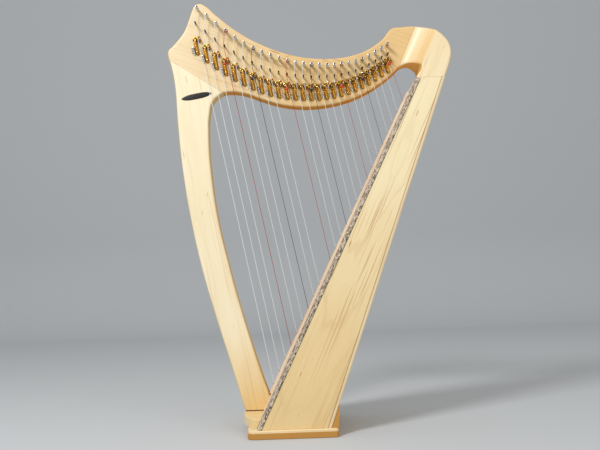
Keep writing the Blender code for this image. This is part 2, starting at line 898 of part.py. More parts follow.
def bridge_pin(course):
    """A post that narrows to its groove. The string bears on its left side."""
    stations = (
        (-EMBED, BRIDGE_PIN_RADIUS),
        (STRING_OUT, BRIDGE_GROOVE_RADIUS),
        (STRING_OUT + BRIDGE_GROOVE_HALF, BRIDGE_PIN_RADIUS),
        (BRIDGE_PIN_OUT, BRIDGE_PIN_RADIUS),
    )
    rings = []
    for out, radius in stations:
        rings.append(ring_about(course.bridge, radius, NECK_FACE_Y - out, BRIDGE_PIN_SIDES))
    return lofted(rings, "bridge_pin")


def pin_hole(course):
    """A blind hole whose flats clear the turning pin."""
    radius = (PIN_RADIUS + GAP) / math.cos(math.pi / PIN_SIDES)
    floor = NECK_FACE_Y + PIN_DEPTH + PIN_HOLE_SPARE
    rings = [ring_about(course.tuning, radius, y, PIN_SIDES) for y in (NECK_FACE_Y - EMBED, floor)]
    return lofted(rings, "pin_hole")


def plate_below(course):
    return between(PLATE_BELOW_BASS, PLATE_BELOW_TREBLE, share(course.number))


def bracket_plate(course):
    """The plate under the lever, with round ends. Its sides follow the cheeks."""
    middle = (PLATE_LEFT + PLATE_RIGHT) / 2
    radius = (PLATE_RIGHT - PLATE_LEFT) / 2
    outline = []
    for centre_z, start in ((PLATE_ABOVE - radius, 0), (radius - plate_below(course), 180)):
        for step in range(5):
            angle = math.radians(start + 45 * step)
            outline.append((middle + radius * math.cos(angle), 0, centre_z + radius * math.sin(angle)))
    plate = prism(outline, Vector((0, -1, 0)), -EMBED, PLATE_THICKNESS, "plate")
    return placed(plate, course.bracket_matrix())


def bracket_cheek(course):
    """The upright ear of the bracket, bored for the axle."""
    foot = PLATE_THICKNESS - EMBED
    outer = (
        (-CHEEK_HALF, foot),
        (-CHEEK_HALF, CHEEK_SHOULDER),
        (-CHEEK_HALF / 2, CHEEK_TOP),
        (CHEEK_HALF / 2, CHEEK_TOP),
        (CHEEK_HALF, CHEEK_SHOULDER),
        (CHEEK_HALF, foot),
    )
    bore = (AXLE_RADIUS + GAP) / math.cos(math.pi / AXLE_SIDES)
    inner = []
    for angle in (225, 180, 120, 60, 0, 315):
        turned = math.radians(angle)
        inner.append((bore * math.cos(turned), AXLE_OUT + bore * math.sin(turned)))
    bm = bmesh.new()
    loops = []
    for x in (CHEEK_RIGHT - CHEEK_WALL, CHEEK_RIGHT):
        for shape in (outer, inner):
            loops.append([bm.verts.new((x, -out, up)) for up, out in shape])
    near_outer, near_inner, far_outer, far_inner = loops
    for i in range(6):
        j = (i + 1) % 6
        bm.faces.new((near_outer[i], near_outer[j], near_inner[j], near_inner[i]))
        bm.faces.new((far_outer[j], far_outer[i], far_inner[i], far_inner[j]))
        bm.faces.new((near_outer[j], near_outer[i], far_outer[i], far_outer[j]))
        bm.faces.new((near_inner[i], near_inner[j], far_inner[j], far_inner[i]))
    return placed(to_mesh(bm, "cheek"), course.bracket_matrix())


def fret_post(course):
    """The post just behind the string, above the cam."""
    string_out = NECK_FACE_Y - course.string_y(course.axle_drop() - FRET_UP)
    top = string_out - course.diameter / 2 - STRING_CLEARANCE
    low = (-FRET_HALF_WIDTH, -top, FRET_UP - FRET_HALF_LENGTH)
    high = (FRET_HALF_WIDTH, EMBED - PLATE_THICKNESS, FRET_UP + FRET_HALF_LENGTH)
    return placed(box(low, high, "fret"), course.bracket_matrix())


def make_neck(outline, courses, finish, parent):
    start, toward_shoulder = seam(SEAM_SHOULDER, -1)
    if toward_shoulder.x < 0:
        start, toward_shoulder = seam(SEAM_SHOULDER, 1)
    cuts = [seam(SEAM_PILLAR, -1), (start, toward_shoulder)]
    bm = sawn(outline, NECK_FACE_Y, NECK_FACE_Y + NECK_THICKNESS, NECK_ROUND_OVER, cuts, "neck")
    neck = to_mesh(bm, "neck")
    fittings = (
        [pin_hole(course) for course in courses],
        [bridge_pin(course) for course in courses],
        [bracket_plate(course) for course in courses],
        [bracket_cheek(course) for course in courses],
        [fret_post(course) for course in courses],
    )
    for number, meshes in enumerate(fittings):
        operation = "UNION" if number else "DIFFERENCE"
        neck = combined(neck, joined(meshes, "fittings"), operation, "MANIFOLD")
    return add("neck", neck, finish, parent)


# Moving pieces


def make_tuning_pin(course, finish, parent):
    """A pin with a square head and, unless its course is bare, the turns of its string."""
    start = course.winding_start - course.tuning
    phase = math.atan2(start.z, start.x)
    axis = Vector((0, 0, 0))
    corner = PIN_SQUARE_HALF * math.sqrt(2)
    square_ring = []
    for step in range(PIN_SIDES):
        angle = phase + 2 * math.pi * step / PIN_SIDES
        radius = corner if step % 2 == 0 else PIN_SQUARE_HALF
        square_ring.append((radius * math.cos(angle), radius * math.sin(angle)))
    rings = [
        ring_about(axis, PIN_RADIUS, PIN_DEPTH, PIN_SIDES, phase),
        ring_about(axis, PIN_RADIUS, -PIN_SQUARE_OUT, PIN_SIDES, phase),
    ]
    for out in (PIN_SQUARE_OUT + EMBED, PIN_OUT):
        rings.append([(x, -out, z) for x, z in square_ring])
    mesh = lofted(rings, "tuning_pin")
    gap = None
    if course.number != BARE_COURSE:
        points, gap = winding_points(course, phase)
        outward = [Vector((p.x, 0, p.z)) for p in points]
        outward[-1] = Vector((0, -1, 0))
        coil = tube(points, course.diameter / 2, WINDING_SIDES, "winding", outward)
        mesh = combined(mesh, coil, "UNION")
    place = Matrix.Translation(Vector((course.tuning.x, NECK_FACE_Y, course.tuning.z)))
    add(f"tuning_pin_{course.number:02d}", mesh, finish, parent, place, round_piece=True)
    return gap


def winding_points(course, phase):
    """A straight end, the turns, clockwise as seen from -Y, and an end sunk in the pin."""
    radius = winding_radius(course.number)
    pitch = course.diameter + WINDING_GAP
    coil = []
    for step in range(WINDING_TURNS * PIN_SIDES + 1):
        angle = phase - 2 * math.pi * step / PIN_SIDES
        out = STRING_OUT + pitch * step / PIN_SIDES
        coil.append(Vector((radius * math.cos(angle), -out, radius * math.sin(angle))))
    tangent = Vector((math.sin(phase), 0, -math.cos(phase)))
    straight_end = coil[0] - tangent * course.diameter
    last = coil[-1]
    sunk_end = Vector((WINDING_SUNK * last.x, last.y - pitch / PIN_SIDES, WINDING_SUNK * last.z))
    gap = least_gap(coil, course.diameter, PIN_SIDES // 2)
    return [straight_end, *coil, sunk_end], gap


def lever_outline(points, turn):
    """Points given as distance along the handle and sideways from it, turned to the rest angle."""
    turned = []
    for along, aside in points:
        out = along * math.cos(turn) - aside * math.sin(turn)
        up = along * math.sin(turn) + aside * math.cos(turn)
        turned.append((0, -out, up))
    return turned


def make_lever(course, finish, parent):
    """The hub with its cam, the axle, the arm and its coloured tip, with the origin on the axle."""
    across = Vector((1, 0, 0))
    cam = course.cam_radius()
    cam_turn = -LEVER_TRAVEL
    hub = []
    for step in range(HUB_POINTS):
        round_share = step / (HUB_POINTS - 1)
        angle = between(2 * CAM_HALF_ANGLE, 2 * math.pi - 2 * CAM_HALF_ANGLE, round_share)
        hub.append(around(angle, HUB_RADIUS))
    half_nose = cam * math.sin(CAM_HALF_ANGLE / 2)
    nose_reach = math.sqrt(cam**2 - half_nose**2)
    hub += [(nose_reach, -half_nose), (nose_reach, half_nose)]
    hub_low = -ARM_FROM_STRING - ARM_WIDTH - CHEEK_SETBACK
    hub_high = CHEEK_RIGHT - CHEEK_WALL - GAP
    body = prism(lever_outline(hub, cam_turn), across, hub_low, hub_high, "lever")
    axle = [around(2 * math.pi * step / AXLE_SIDES, AXLE_RADIUS) for step in range(AXLE_SIDES)]
    axle = prism(lever_outline(axle, 0), across, hub_low + EMBED, CHEEK_RIGHT, "axle")
    body = combined(body, axle, "UNION")
    half = ARM_THICKNESS / 2
    arm_right = -ARM_FROM_STRING
    arm = [(0, -half), (ARM_LENGTH, -half), (ARM_LENGTH, half), (0, half)]
    arm = prism(lever_outline(arm, LEVER_REST_ANGLE), across, arm_right - ARM_WIDTH, arm_right, "arm")
    body = combined(body, arm, "UNION")
    low = ARM_LENGTH - EMBED
    high = low + TIP_LENGTH
    half = TIP_THICKNESS / 2
    cut = TIP_ROUND_OVER
    tip = [(low, -half), (high - cut, -half), (high, -half + cut)]
    tip += [(high, half - cut), (high - cut, half), (low, half)]
    tip = prism(lever_outline(tip, LEVER_REST_ANGLE), across, arm_right - TIP_WIDTH, arm_right + GAP, "tip")
    body = combined(body, tip, "UNION")
    name = f"lever_{course.number:02d}"
    return add(name, body, finish, parent, course.lever_matrix())


def make_strings(courses, finish, parent):
    """The strings, held by the inner rib behind the soundboard."""
    strings = []
    for course in courses:
        if course.number == BARE_COURSE:
            continue
        out = Vector((0, 0, 0))
        for step in range(2):
            way = between(course.contact - course.bridge, course.leaving - course.bridge, step)
            arc = course.bridge + way.normalized() * course.bend
            out = Vector((arc.x, course.face_y, arc.z))
            if step == 0:
                points = [
                    course.foot - BOARD_OUT * (RIB_FACE + EMBED),
                    course.foot - BOARD_OUT * course.diameter,
                    course.foot + (out - course.foot).normalized() * course.diameter,
                ]
            points.append(out)
        end = course.upper_end
        points.append(Vector((end.x, course.face_y, end.z)))
        strings.append(tube(points, course.diameter / 2, STRING_SIDES, "string"))
    rib = rib_mesh(-INNER_RIB_WALL, 0.0, RIB_HALF_WIDTH, "inner_rib")
    return add("strings", combined(rib, joined(strings, "strings"), "UNION"), finish, parent)


def main():
    for old in list(bpy.data.objects):
        bpy.data.objects.remove(old)
    outline = frame_outline()
    middle = (min(p.x for p in outline) + max(p.x for p in outline)) / 2
    harp = bpy.data.objects.new("harp", None)
    harp.location = (-middle, 0, BASE_THICKNESS)
    bpy.context.scene.collection.objects.link(harp)

    maple = material("maple", (0.72, 0.53, 0.31), 0.4)
    neck_maple = material("neck_maple", (0.68, 0.49, 0.28), 0.4)
    edge_maple = material("edge_maple", (0.60, 0.36, 0.17), 0.45)
    spruce = material("spruce", (0.78, 0.62, 0.45), 0.5)
    nickel = material("nickel", (0.62, 0.61, 0.60), 0.3, 1.0)
    brass = material("brass", (0.72, 0.52, 0.22), 0.3, 1.0)
    nylon = material("nylon", (0.86, 0.85, 0.82), 0.35)

    courses = [Course(number) for number in range(1, COURSES + 1)]
    make_base(edge_maple, harp)
    make_foot(maple, harp)
    make_pillar(outline, maple, harp)
    make_neck(outline, courses, neck_maple, harp)
    make_shoulder(outline, maple, harp)
    make_soundboard(courses, spruce, harp)
    make_side("side_left", -1, maple, harp)
    make_side("side_right", 1, maple, harp)
    make_back(edge_maple, harp)
    make_strings(courses, nylon, harp)
    gaps = [make_tuning_pin(course, nickel, harp) for course in courses]
    for course in courses:
        make_lever(course, brass, harp)
    least = min(gap for gap in gaps if gap is not None)
    print(f"least gap between turns of a string on its pin: {1000 * least:.2f} mm")


main()
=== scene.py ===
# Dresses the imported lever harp: its wood, strings, pins, levers and trim
import json
import math

import bmesh
import bpy
from mathutils import Matrix, Vector


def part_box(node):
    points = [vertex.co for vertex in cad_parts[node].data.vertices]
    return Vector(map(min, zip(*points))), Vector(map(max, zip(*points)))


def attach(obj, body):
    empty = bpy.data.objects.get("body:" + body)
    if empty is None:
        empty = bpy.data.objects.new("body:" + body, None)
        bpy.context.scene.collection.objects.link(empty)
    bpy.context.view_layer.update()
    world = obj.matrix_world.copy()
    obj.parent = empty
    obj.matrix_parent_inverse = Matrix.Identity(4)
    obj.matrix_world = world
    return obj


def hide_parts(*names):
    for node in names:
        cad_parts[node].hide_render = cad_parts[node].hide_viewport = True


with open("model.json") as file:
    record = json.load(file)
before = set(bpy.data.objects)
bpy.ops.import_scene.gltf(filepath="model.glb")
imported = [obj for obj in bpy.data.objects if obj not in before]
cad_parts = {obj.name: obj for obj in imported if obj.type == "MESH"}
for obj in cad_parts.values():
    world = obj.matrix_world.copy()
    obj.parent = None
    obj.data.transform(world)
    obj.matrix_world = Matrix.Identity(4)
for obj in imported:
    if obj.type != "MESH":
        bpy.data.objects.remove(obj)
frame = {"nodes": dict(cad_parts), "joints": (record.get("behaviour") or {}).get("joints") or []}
nodes = frame["nodes"]
joints = {joint["name"]: joint for joint in frame["joints"]}
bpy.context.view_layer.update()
print("frame loaded", len(nodes), "nodes")

upward, rightward = Vector((0, 0, 1)), Vector((1, 0, 0))
hair = 0.00001  # a distance too small to see


# Picking and editing

def pick(*objects):
    bpy.ops.object.select_all(action="DESELECT")
    for obj in objects:
        obj.select_set(True)
    bpy.context.view_layer.objects.active = objects[0]


def begin(primitive, **settings):
    # adds a primitive with nothing else selected
    bpy.ops.object.select_all(action="DESELECT")
    primitive(**settings)
    return bpy.context.active_object


def startEdit(obj, kind="VERT", action="DESELECT"):
    pick(obj)
    bpy.ops.object.mode_set(mode="EDIT")
    bpy.ops.mesh.select_mode(type=kind)
    bpy.ops.mesh.select_all(action=action)


def endEdit():
    bpy.ops.object.mode_set(mode="OBJECT")


def selectVerts(obj, test):
    bm = bmesh.from_edit_mesh(obj.data)
    for vert in bm.verts:
        vert.select_set(test(vert.co))
    bm.select_flush_mode()
    bmesh.update_edit_mesh(obj.data)


def mend(obj, gap=hair):
    # merges doubles and turns the faces outwards
    startEdit(obj, action="SELECT")
    bpy.ops.mesh.remove_doubles(threshold=gap)
    bpy.ops.mesh.normals_make_consistent(inside=False)
    endEdit()


def shape(obj, kind, **settings):
    # adds a modifier and applies it
    pick(obj)
    modifier = obj.modifiers.new(kind.lower(), kind)
    for setting, value in settings.items():
        setattr(modifier, setting, value)
    bpy.ops.object.modifier_apply(modifier=modifier.name)


def ease(obj, width, angle=50):
    # rounds the edges that are sharper than the angle
    shape(obj, "BEVEL", width=width, segments=2, limit_method="ANGLE", angle_limit=math.radians(angle))


def settle(obj):
    pick(obj)
    bpy.ops.object.transform_apply(location=True, rotation=True, scale=True)


def softShade(obj, angle, weighted=False):
    pick(obj)
    bpy.ops.object.shade_smooth_by_angle(angle=math.radians(angle))
    if weighted:
        shape(obj, "WEIGHTED_NORMAL", keep_sharp=True, weight=80)


def paint(obj, material):
    obj.data.materials.clear()
    obj.data.materials.append(material)


def dressed(obj, material, angle=35):
    softShade(obj, angle)
    paint(obj, material)
    return obj


def joinAll(parts, name):
    pick(*parts)
    bpy.ops.object.join()
    whole = bpy.context.active_object
    whole.name = name
    return whole


def copyTo(source, name, place=Matrix()):
    piece = source.copy()
    piece.data = source.data.copy()
    piece.name = name
    piece.data.transform(place)
    bpy.context.collection.objects.link(piece)
    return piece


def putAway(*sources):
    for source in sources:
        bpy.data.objects.remove(source)


def farthest(node, direction):
    way = Vector(direction)
    return max((v.co for v in nodes[node].data.vertices), key=way.dot).copy()


def mix(a, b, share):
    return a + (b - a) * share


# Where things are, read from the frame

boardFoot = farthest("side_left", (-1, 0, -3))  # lowest front corner of the near side
boardTop = farthest("side_left", (-1, 0, 3))
boardFoot.y = farthest("side_left", (0, -1, -100)).y  # of the flat face, past the rounded edge
boardTop.y = farthest("side_left", (0, -1, 100)).y
backTop = farthest("side_left", (1, 0, 3))
backFoot = farthest("side_left", (0.2, 0, -3))
boardUp = Vector((boardTop.x - boardFoot.x, 0, boardTop.z - boardFoot.z)).normalized()
boardOut = Vector((-boardUp.z, 0, boardUp.x))
ribFace = max(v.co.dot(boardOut) for v in nodes["soundboard"].data.vertices)
bridgeEnds = {"out": 0.0150, "apart": 0.004}  # nothing else on the neck stands out as far


def halfWidth(z):
    # of the soundbox, at a height
    return -mix(boardFoot.y, boardTop.y, (z - boardFoot.z) / (boardTop.z - boardFoot.z))


def bridgePlaces():
    # the middle of each bridge pin's end, from left to right
    ends = [v.co for v in nodes["neck"].data.vertices if v.co.y < -bridgeEnds["out"]]
    ends.sort(key=lambda co: co.x)
    groups = [[ends[0]]]
    for co in ends[1:]:
        if co.x - groups[-1][-1].x > bridgeEnds["apart"]:
            groups.append([])
        groups[-1].append(co)
    places = []
    for group in groups:
        xs, zs = [co.x for co in group], [co.z for co in group]
        places.append(Vector((mix(min(xs), max(xs), 0.5), 0, mix(min(zs), max(zs), 0.5))))
    return places


stringSizes = {
    "count": 25, "bare": 10, "bass": 0.0013, "treble": 0.0007, "out": 0.012, "sides": 10,
    "tail": 0.012, "bendSteps": 4,
}
redStrings = (4, 11, 18, 25)
blueStrings = (7, 14, 21)
windings = {
    "turns": 2, "gap": 0.00045, "pinRadius": 0.0032, "offPin": 0.0001, "stepsPerTurn": 20,
    "inward": 0.4,  # where its end goes into the pin
}


class Course:
    # the places of one string, with its two pins and its lever
    def __init__(self, number, bridge):
        self.number = number
        self.tag = f"{number:02d}"
        self.colour = "red" if number in redStrings else "blue" if number in blueStrings else "clear"
        self.share = (number - 1) / (stringSizes["count"] - 1)
        self.diameter = mix(stringSizes["bass"], stringSizes["treble"], self.share)
        self.bridge = bridge
        flip = joints[f"lever_{self.tag}_flip"]
        turn = joints[f"tuning_pin_{self.tag}_turn"]
        self.axle = Vector(flip["pos_m"])
        self.tuning = Vector(turn["pos_m"])
        self.tuning.y = 0
        self.across = -Vector(flip["axis"])
        self.up = Vector((-self.across.z, 0, self.across.x))
        onNeck = Vector((self.axle.x, 0, self.axle.z))
        self.contact = onNeck + self.up * (bridge - onNeck).dot(self.up)
        self.bend = (self.contact - bridge).length
        self.length = (self.contact.dot(boardOut) - ribFace) / self.up.dot(boardOut)
        self.foot = self.contact - self.up * self.length
        self.coilRadius = windings["pinRadius"] + self.diameter / 2 + windings["offPin"]
        axis = self.tuning - bridge
        lean = math.asin((self.coilRadius - self.bend) / axis.length)
        side = Vector((-axis.z, axis.x)).normalized()
        side.rotate(Matrix.Rotation(-lean, 2))
        self.side = Vector((side.x, 0, side.y))

    def turned(self, origin):
        # local x across the string, y into the neck, z up along the string
        axes = Matrix((self.across, (0, 1, 0), self.up)).transposed().to_4x4()
        return Matrix.Translation(origin) @ axes


courses = [Course(n + 1, bridge) for n, bridge in enumerate(bridgePlaces())]
print("courses found", len(courses))


# Shared effects

def newGroup(name, inputs, outputs):
    # both name their sockets, each with its kind
    group = bpy.data.node_groups.new(name, "ShaderNodeTree")
    for way, sockets in (("INPUT", inputs), ("OUTPUT", outputs)):
        for title, kind in sockets.items():
            group.interface.new_socket(title, in_out=way, socket_type="NodeSocket" + kind)
    return group, group.nodes.new("NodeGroupInput").outputs, group.nodes.new("NodeGroupOutput")


def plug(tree, node, links):
    # links are (socket, value or output) pairs
    for socket, value in links:
        if isinstance(value, bpy.types.NodeSocket):
            tree.links.new(value, node.inputs[socket])
        else:
            node.inputs[socket].default_value = value
    return node


def addNode(tree, kind, links=(), **settings):
    node = tree.nodes.new("ShaderNode" + kind)
    for setting, value in settings.items():
        setattr(node, setting, value)
    return plug(tree, node, links)


def addRamp(tree, source, low, high, first=0.0, last=1.0):
    ramp = addNode(tree, "ValToRGB", [("Fac", source)])
    for element, place, value in zip(ramp.color_ramp.elements, (low, high), (first, last)):
        element.position = place
        element.color = (value, value, value, 1)
    return ramp.outputs["Color"]


def addMath(tree, operation, a, b=None, clamp=False):
    links = [(0, a)] if b is None else [(0, a), (1, b)]
    return addNode(tree, "Math", links, operation=operation, use_clamp=clamp).outputs[0]


def addVector(tree, operation, a, b):
    return addNode(tree, "VectorMath", [(0, a), (1, b)], operation=operation).outputs[0]


def addMix(tree, share, a, b, blend="MIX"):
    colours = [(0, share), (6, a), (7, b)]
    return addNode(tree, "Mix", colours, data_type="RGBA", blend_type=blend).outputs[2]


def hexColour(text):
    # a colour as it looks on screen, in the linear values that shaders take
    parts = [int(text[i:i + 2], 16) / 255 for i in (0, 2, 4)]
    linear = [p / 12.92 if p <= 0.04045 else ((p + 0.055) / 1.055) ** 2.4 for p in parts]
    return (*linear, 1)


grainLook = {
    "warp": 0.05,  # how far the rings are pushed about
    "lean": 0.075,  # how much they drift through the board along the grain
    "rings": 0.12, "clouds": 0.38, "fibres": 0.30,  # what each adds to the tan
    "crests": 0.25,  # how strongly the crest of a ring draws a line
    "fleck": "a8743c",
    "raised": 0.6, "sunken": 0.4,  # fibres and lines, in the bump
    "roughness": 0.34, "fibreRoughness": 0.16,
}


def makeGrainGroup():
    # wood whose grain runs along z of the vector it is given, in metres
    group, given, result = newGroup(
        "woodGrain",
        {"Vector": "Vector", "Pale": "Color", "Tan": "Color", "Line": "Color",
         "Lines": "Float", "Spacing": "Float", "Flecks": "Float"},
        {"Color": "Color", "Height": "Float", "Roughness": "Float"},
    )
    vector = given["Vector"]

    def stretched(along, scale, detail=2.0, roughness=0.5, deep=1.0, output="Fac"):
        # noise drawn out along the grain, and into the board where deep is under 1
        drawn = addNode(group, "Mapping", [("Vector", vector), ("Scale", (1, deep, along))])
        links = [("Vector", drawn.outputs[0]), ("Scale", scale), ("Detail", detail), ("Roughness", roughness)]
        return addNode(group, "TexNoise", links).outputs[output]

    def times(a, b):
        return addMath(group, "MULTIPLY", a, b)

    centred = addVector(group, "SUBTRACT", stretched(0.22, 16.0, output="Color"), (0.5, 0.5, 0.5))
    pushed = addNode(group, "VectorMath", [(0, centred), ("Scale", grainLook["warp"])], operation="SCALE")
    x, y, z = addNode(group, "SeparateXYZ", [(0, vector)]).outputs
    leaning = addMath(group, "ADD", y, times(z, grainLook["lean"]))
    tilted = addNode(group, "CombineXYZ", [(0, x), (1, leaning)])
    moved = addVector(group, "ADD", tilted.outputs[0], pushed.outputs[0])
    rings = addNode(
        group, "TexWave",
        [("Vector", moved), ("Scale", given["Spacing"]), ("Distortion", 1.2), ("Detail", 2.0)],
        wave_type="RINGS", rings_direction="Z",
    ).outputs["Fac"]
    fibre = stretched(0.018, 620.0, 3.0, 0.6)
    clouds = addRamp(group, stretched(0.30, 26.0, 4.0), 0.35, 0.70)
    fibres = addRamp(group, fibre, 0.35, 0.75)
    tone = addMath(group, "ADD", times(rings, grainLook["rings"]), times(clouds, grainLook["clouds"]))
    tone = addMath(group, "ADD", tone, times(fibres, grainLook["fibres"]), clamp=True)
    wood = addMix(group, tone, given["Pale"], given["Tan"])
    # long thin lines, which come and go
    seen = addRamp(group, stretched(0.30, 9.0), 0.34, 0.56, first=0.25)
    line = addRamp(group, stretched(0.014, 260.0, deep=0.08), 0.58, 0.68)
    crest = times(addRamp(group, rings, 0.93, 0.995), grainLook["crests"])
    line = times(times(addMath(group, "MAXIMUM", line, crest), seen), given["Lines"])
    wood = addMix(group, line, wood, given["Line"])
    # a few short dark flecks
    dash = addRamp(group, stretched(0.110, 190.0, 1.0), 0.715, 0.760)
    patch = addRamp(group, stretched(0.50, 11.0, 1.0), 0.48, 0.56)
    dash = times(times(dash, patch), given["Flecks"])
    wood = addMix(group, dash, wood, hexColour(grainLook["fleck"]))
    height = addMath(group, "SUBTRACT", times(fibre, grainLook["raised"]), times(line, grainLook["sunken"]))
    rough = addMath(group, "ADD", times(fibre, grainLook["fibreRoughness"]), grainLook["roughness"])
    plug(group, result, [("Color", wood), ("Height", height), ("Roughness", rough)])
    return group


def makePolishGroup():
    # uneven polish for metal and plastic
    group, given, result = newGroup(
        "unevenPolish",
        {"Vector": "Vector", "Scale": "Float", "Low": "Float", "High": "Float"},
        {"Roughness": "Float", "Mask": "Float"},
    )
    links = [("Vector", given["Vector"]), ("Scale", given["Scale"]), ("Detail", 3.0)]
    mask = addRamp(group, addNode(group, "TexNoise", links).outputs["Fac"], 0.35, 0.65)
    spread = addNode(group, "MapRange", [(0, mask), (3, given["Low"]), (4, given["High"])])
    plug(group, result, [("Roughness", spread.outputs[0]), ("Mask", mask)])
    return group


woodGrain = makeGrainGroup()
unevenPolish = makePolishGroup()


def newMaterial(name):
    made = bpy.data.materials.new(name)
    made.use_nodes = True
    return made, made.node_tree, made.node_tree.nodes["Principled BSDF"]


oil = {"Specular IOR Level": 0.35, "Coat Weight": 0.08, "Coat Roughness": 0.22}
fibreBump = {"Strength": 0.10, "Distance": 0.0003}


def makeWood(name, grainAngle, centre, pale, tan, line="b98a55", lines=0.4, spacing=9.0, flecks=0.5,
             spin=0, edge=None, soakAndShadeRamp=(0.25, 0.80), darkerTowardsEnd=None):
    # grainAngle leans the grain from upright towards +x, in degrees
    made, tree, shader = newMaterial(name)
    coordinates = addNode(tree, "TexCoord").outputs
    turned = addNode(tree, "Mapping", [
        ("Vector", addVector(tree, "SUBTRACT", coordinates["Object"], centre)),
        ("Rotation", (0, math.radians(-grainAngle), math.radians(spin))),
    ])
    grain = addNode(
        tree, "Group",
        [("Vector", turned.outputs[0]), ("Pale", hexColour(pale)), ("Tan", hexColour(tan)),
         ("Line", hexColour(line)), ("Lines", lines), ("Spacing", spacing), ("Flecks", flecks)],
        node_tree=woodGrain,
    ).outputs
    plug(tree, shader, oil.items())
    colour = grain["Color"]
    if edge:
        # end grain and sawn edges soak up more of the finish than the faces along one axis; their darker tint
        # is also painted shade
        tint, share, axis = edge
        facing = addNode(tree, "SeparateXYZ", [(0, coordinates["Normal"])]).outputs[axis]
        if axis == "Y":
            facing = addMath(tree, "ABSOLUTE", facing)
        # mask of the darker edges, soaked finish and painted shade, on every edge whichever way it faces
        soakedAndShaded = addRamp(tree, facing, *soakAndShadeRamp, first=1.0, last=0.0)
        colour = addMix(tree, soakedAndShaded, colour, addMix(tree, share, colour, hexColour(tint)))
        polished = addMath(tree, "SUBTRACT", 1.0, soakedAndShaded)
        for title in ("Specular IOR Level", "Coat Weight"):
            tree.links.new(addMath(tree, "MULTIPLY", polished, oil[title]), shader.inputs[title])
    if darkerTowardsEnd:
        # darker from one end of the piece to the other: painted shade falling off towards the bottom on the
        # pillar and the sides, and on the neck darker towards its right end
        axis, start, stop, tint = darkerTowardsEnd
        place = addNode(tree, "SeparateXYZ", [(0, coordinates["Object"])]).outputs[axis]
        towardsEndShare = addNode(tree, "MapRange", [(0, place), (1, start), (2, stop)]).outputs[0]
        colour = addMix(tree, towardsEndShare, colour, addMix(tree, 1.0, colour, hexColour(tint), "MULTIPLY"))
    bump = addNode(tree, "Bump", [("Height", grain["Height"]), *fibreBump.items()]).outputs[0]
    plug(tree, shader, [("Base Color", colour), ("Roughness", grain["Roughness"]), ("Normal", bump)])
    return made


def makeMetal(name, colour, worn, low, high, scale=500.0, metallic=1.0):
    made, tree, shader = newMaterial(name)
    place = addNode(tree, "TexCoord").outputs["Object"]
    links = [("Vector", place), ("Scale", scale), ("Low", low), ("High", high)]
    polish = addNode(tree, "Group", links, node_tree=unevenPolish).outputs
    tint = addMix(tree, polish["Mask"], hexColour(colour), hexColour(worn))
    plug(tree, shader, [("Base Color", tint), ("Roughness", polish["Roughness"]), ("Metallic", metallic)])
    return made


def makePlastic(name, colour, worn, low=0.22, high=0.40, scale=600.0):
    return makeMetal(name, colour, worn, low, high, scale, 0.0)


woods = {
    # pillar, neck and shoulder: their edge tints are partly painted shade, and the pillar's darkening towards
    # the foot is painted shade
    "pillar": makeWood("pillarMaple", -10, (-0.30, 0.03, 0.42), "faecca", "f2deb2", "c99a62", lines=0.25,
                       spacing=8.0, edge=("d8b068", 0.75, "Y"), darkerTowardsEnd=("Z", 0.22, 0.05, "f6e4c0")),
    "neck": makeWood("neckMaple", 112, (-0.02, 0.045, 0.86), "f2e0bc", "e8cfa2", "b5824c", lines=0.35,
                     spacing=8.0, flecks=0.7, edge=("dca254", 1.0, "Y"), darkerTowardsEnd=("X", -0.36, -0.02, "f4e2c0")),
    "shoulder": makeWood("shoulderMaple", 24, (0.26, -0.02, 0.86), "f6e4bc", "eed3a0", lines=0.25,
                         edge=("e6b468", 1.0, "Y")),
    # the sides darken towards the bottom: painted shade
    "side": makeWood("sideMaple", 25, (0.10, -0.05, 0.40), "f8e8c0", "eed8a8", "b98850", lines=0.60,
                     spacing=12.0, flecks=0.8, darkerTowardsEnd=("Z", 0.66, 0.12, "f2e4cc")),
    "foot": makeWood("footMaple", 90, (0, 0, 0), "f0d7a2", "e8c88e", lines=0.3, spacing=12.0),
    # the base keeps only its top pale, its front and sides darker: painted shade, as if lit from above
    "base": makeWood("baseMaple", 90, (0, 0.02, 0), "f6e2b8", "f0d6a4", lines=0.3, spacing=12.0, spin=90,
                     edge=("c08a42", 0.95, "Z"), soakAndShadeRamp=(0.15, 0.50)),
    "back": makeWood("backMaple", 22, (0.20, 0.0, 0.40), "efd9b0", "e4c898", lines=0.35, spacing=8.0),
    "board": makeWood("boardSpruce", 26.6, (0.0, 0.0, 0.4), "f2e0c6", "ead0ac", "cfa274", lines=0.7,
                      spacing=60.0),
    # the dark brown layer between the foot and the pillar
    "darkLayer": makeWood("darkBrownLayer", 90, (0, 0, 0), "5a3c22", "482e1a", "2e1c10", lines=0.5, flecks=0.0),
}
metals = {
    "nickel": makeMetal("pinNickel", "e4e4e2", "c4c4c2", 0.12, 0.28),
    "blued": makeMetal("bluedEnd", "1d1e22", "2c2c30", 0.30, 0.45),
    "bronze": makeMetal("bridgeBronze", "8a7a4a", "6f6038", 0.24, 0.40),
    "brass": makeMetal("plateBrass", "b87c22", "98641a", 0.26, 0.42),
    "amber": makeMetal("stripAmber", "f6c455", "dc9c34", 0.22, 0.38),
    "gilt": makeMetal("hubGilt", "f4e08e", "d8ba58", 0.14, 0.28),
    "chrome": makeMetal("leverChrome", "fafafa", "e6e6e4", 0.08, 0.20),
}
plastics = {
    "red": makePlastic("redTip", "e8381c", "d22c14"),
    "blue": makePlastic("blueTip", "15172a", "1e2036"),
    "black": makePlastic("blackCap", "141414", "202020"),
    "plate": makePlastic("ovalBlack", "14100d", "1e1814", 0.55, 0.70, 250.0),
}
nylons = {
    "clear": makePlastic("clearNylon", "e9ebec", "d9dcde", 0.16, 0.30, 900.0),
    "red": makePlastic("redNylon", "9c1a20", "b02a2c", 0.20, 0.34, 900.0),
    "blue": makePlastic("blueNylon", "1c2238", "2a3150", 0.20, 0.34, 900.0),
}
print("materials made", len(bpy.data.materials))


# Pillar, neck and shoulder, sawn from one blank

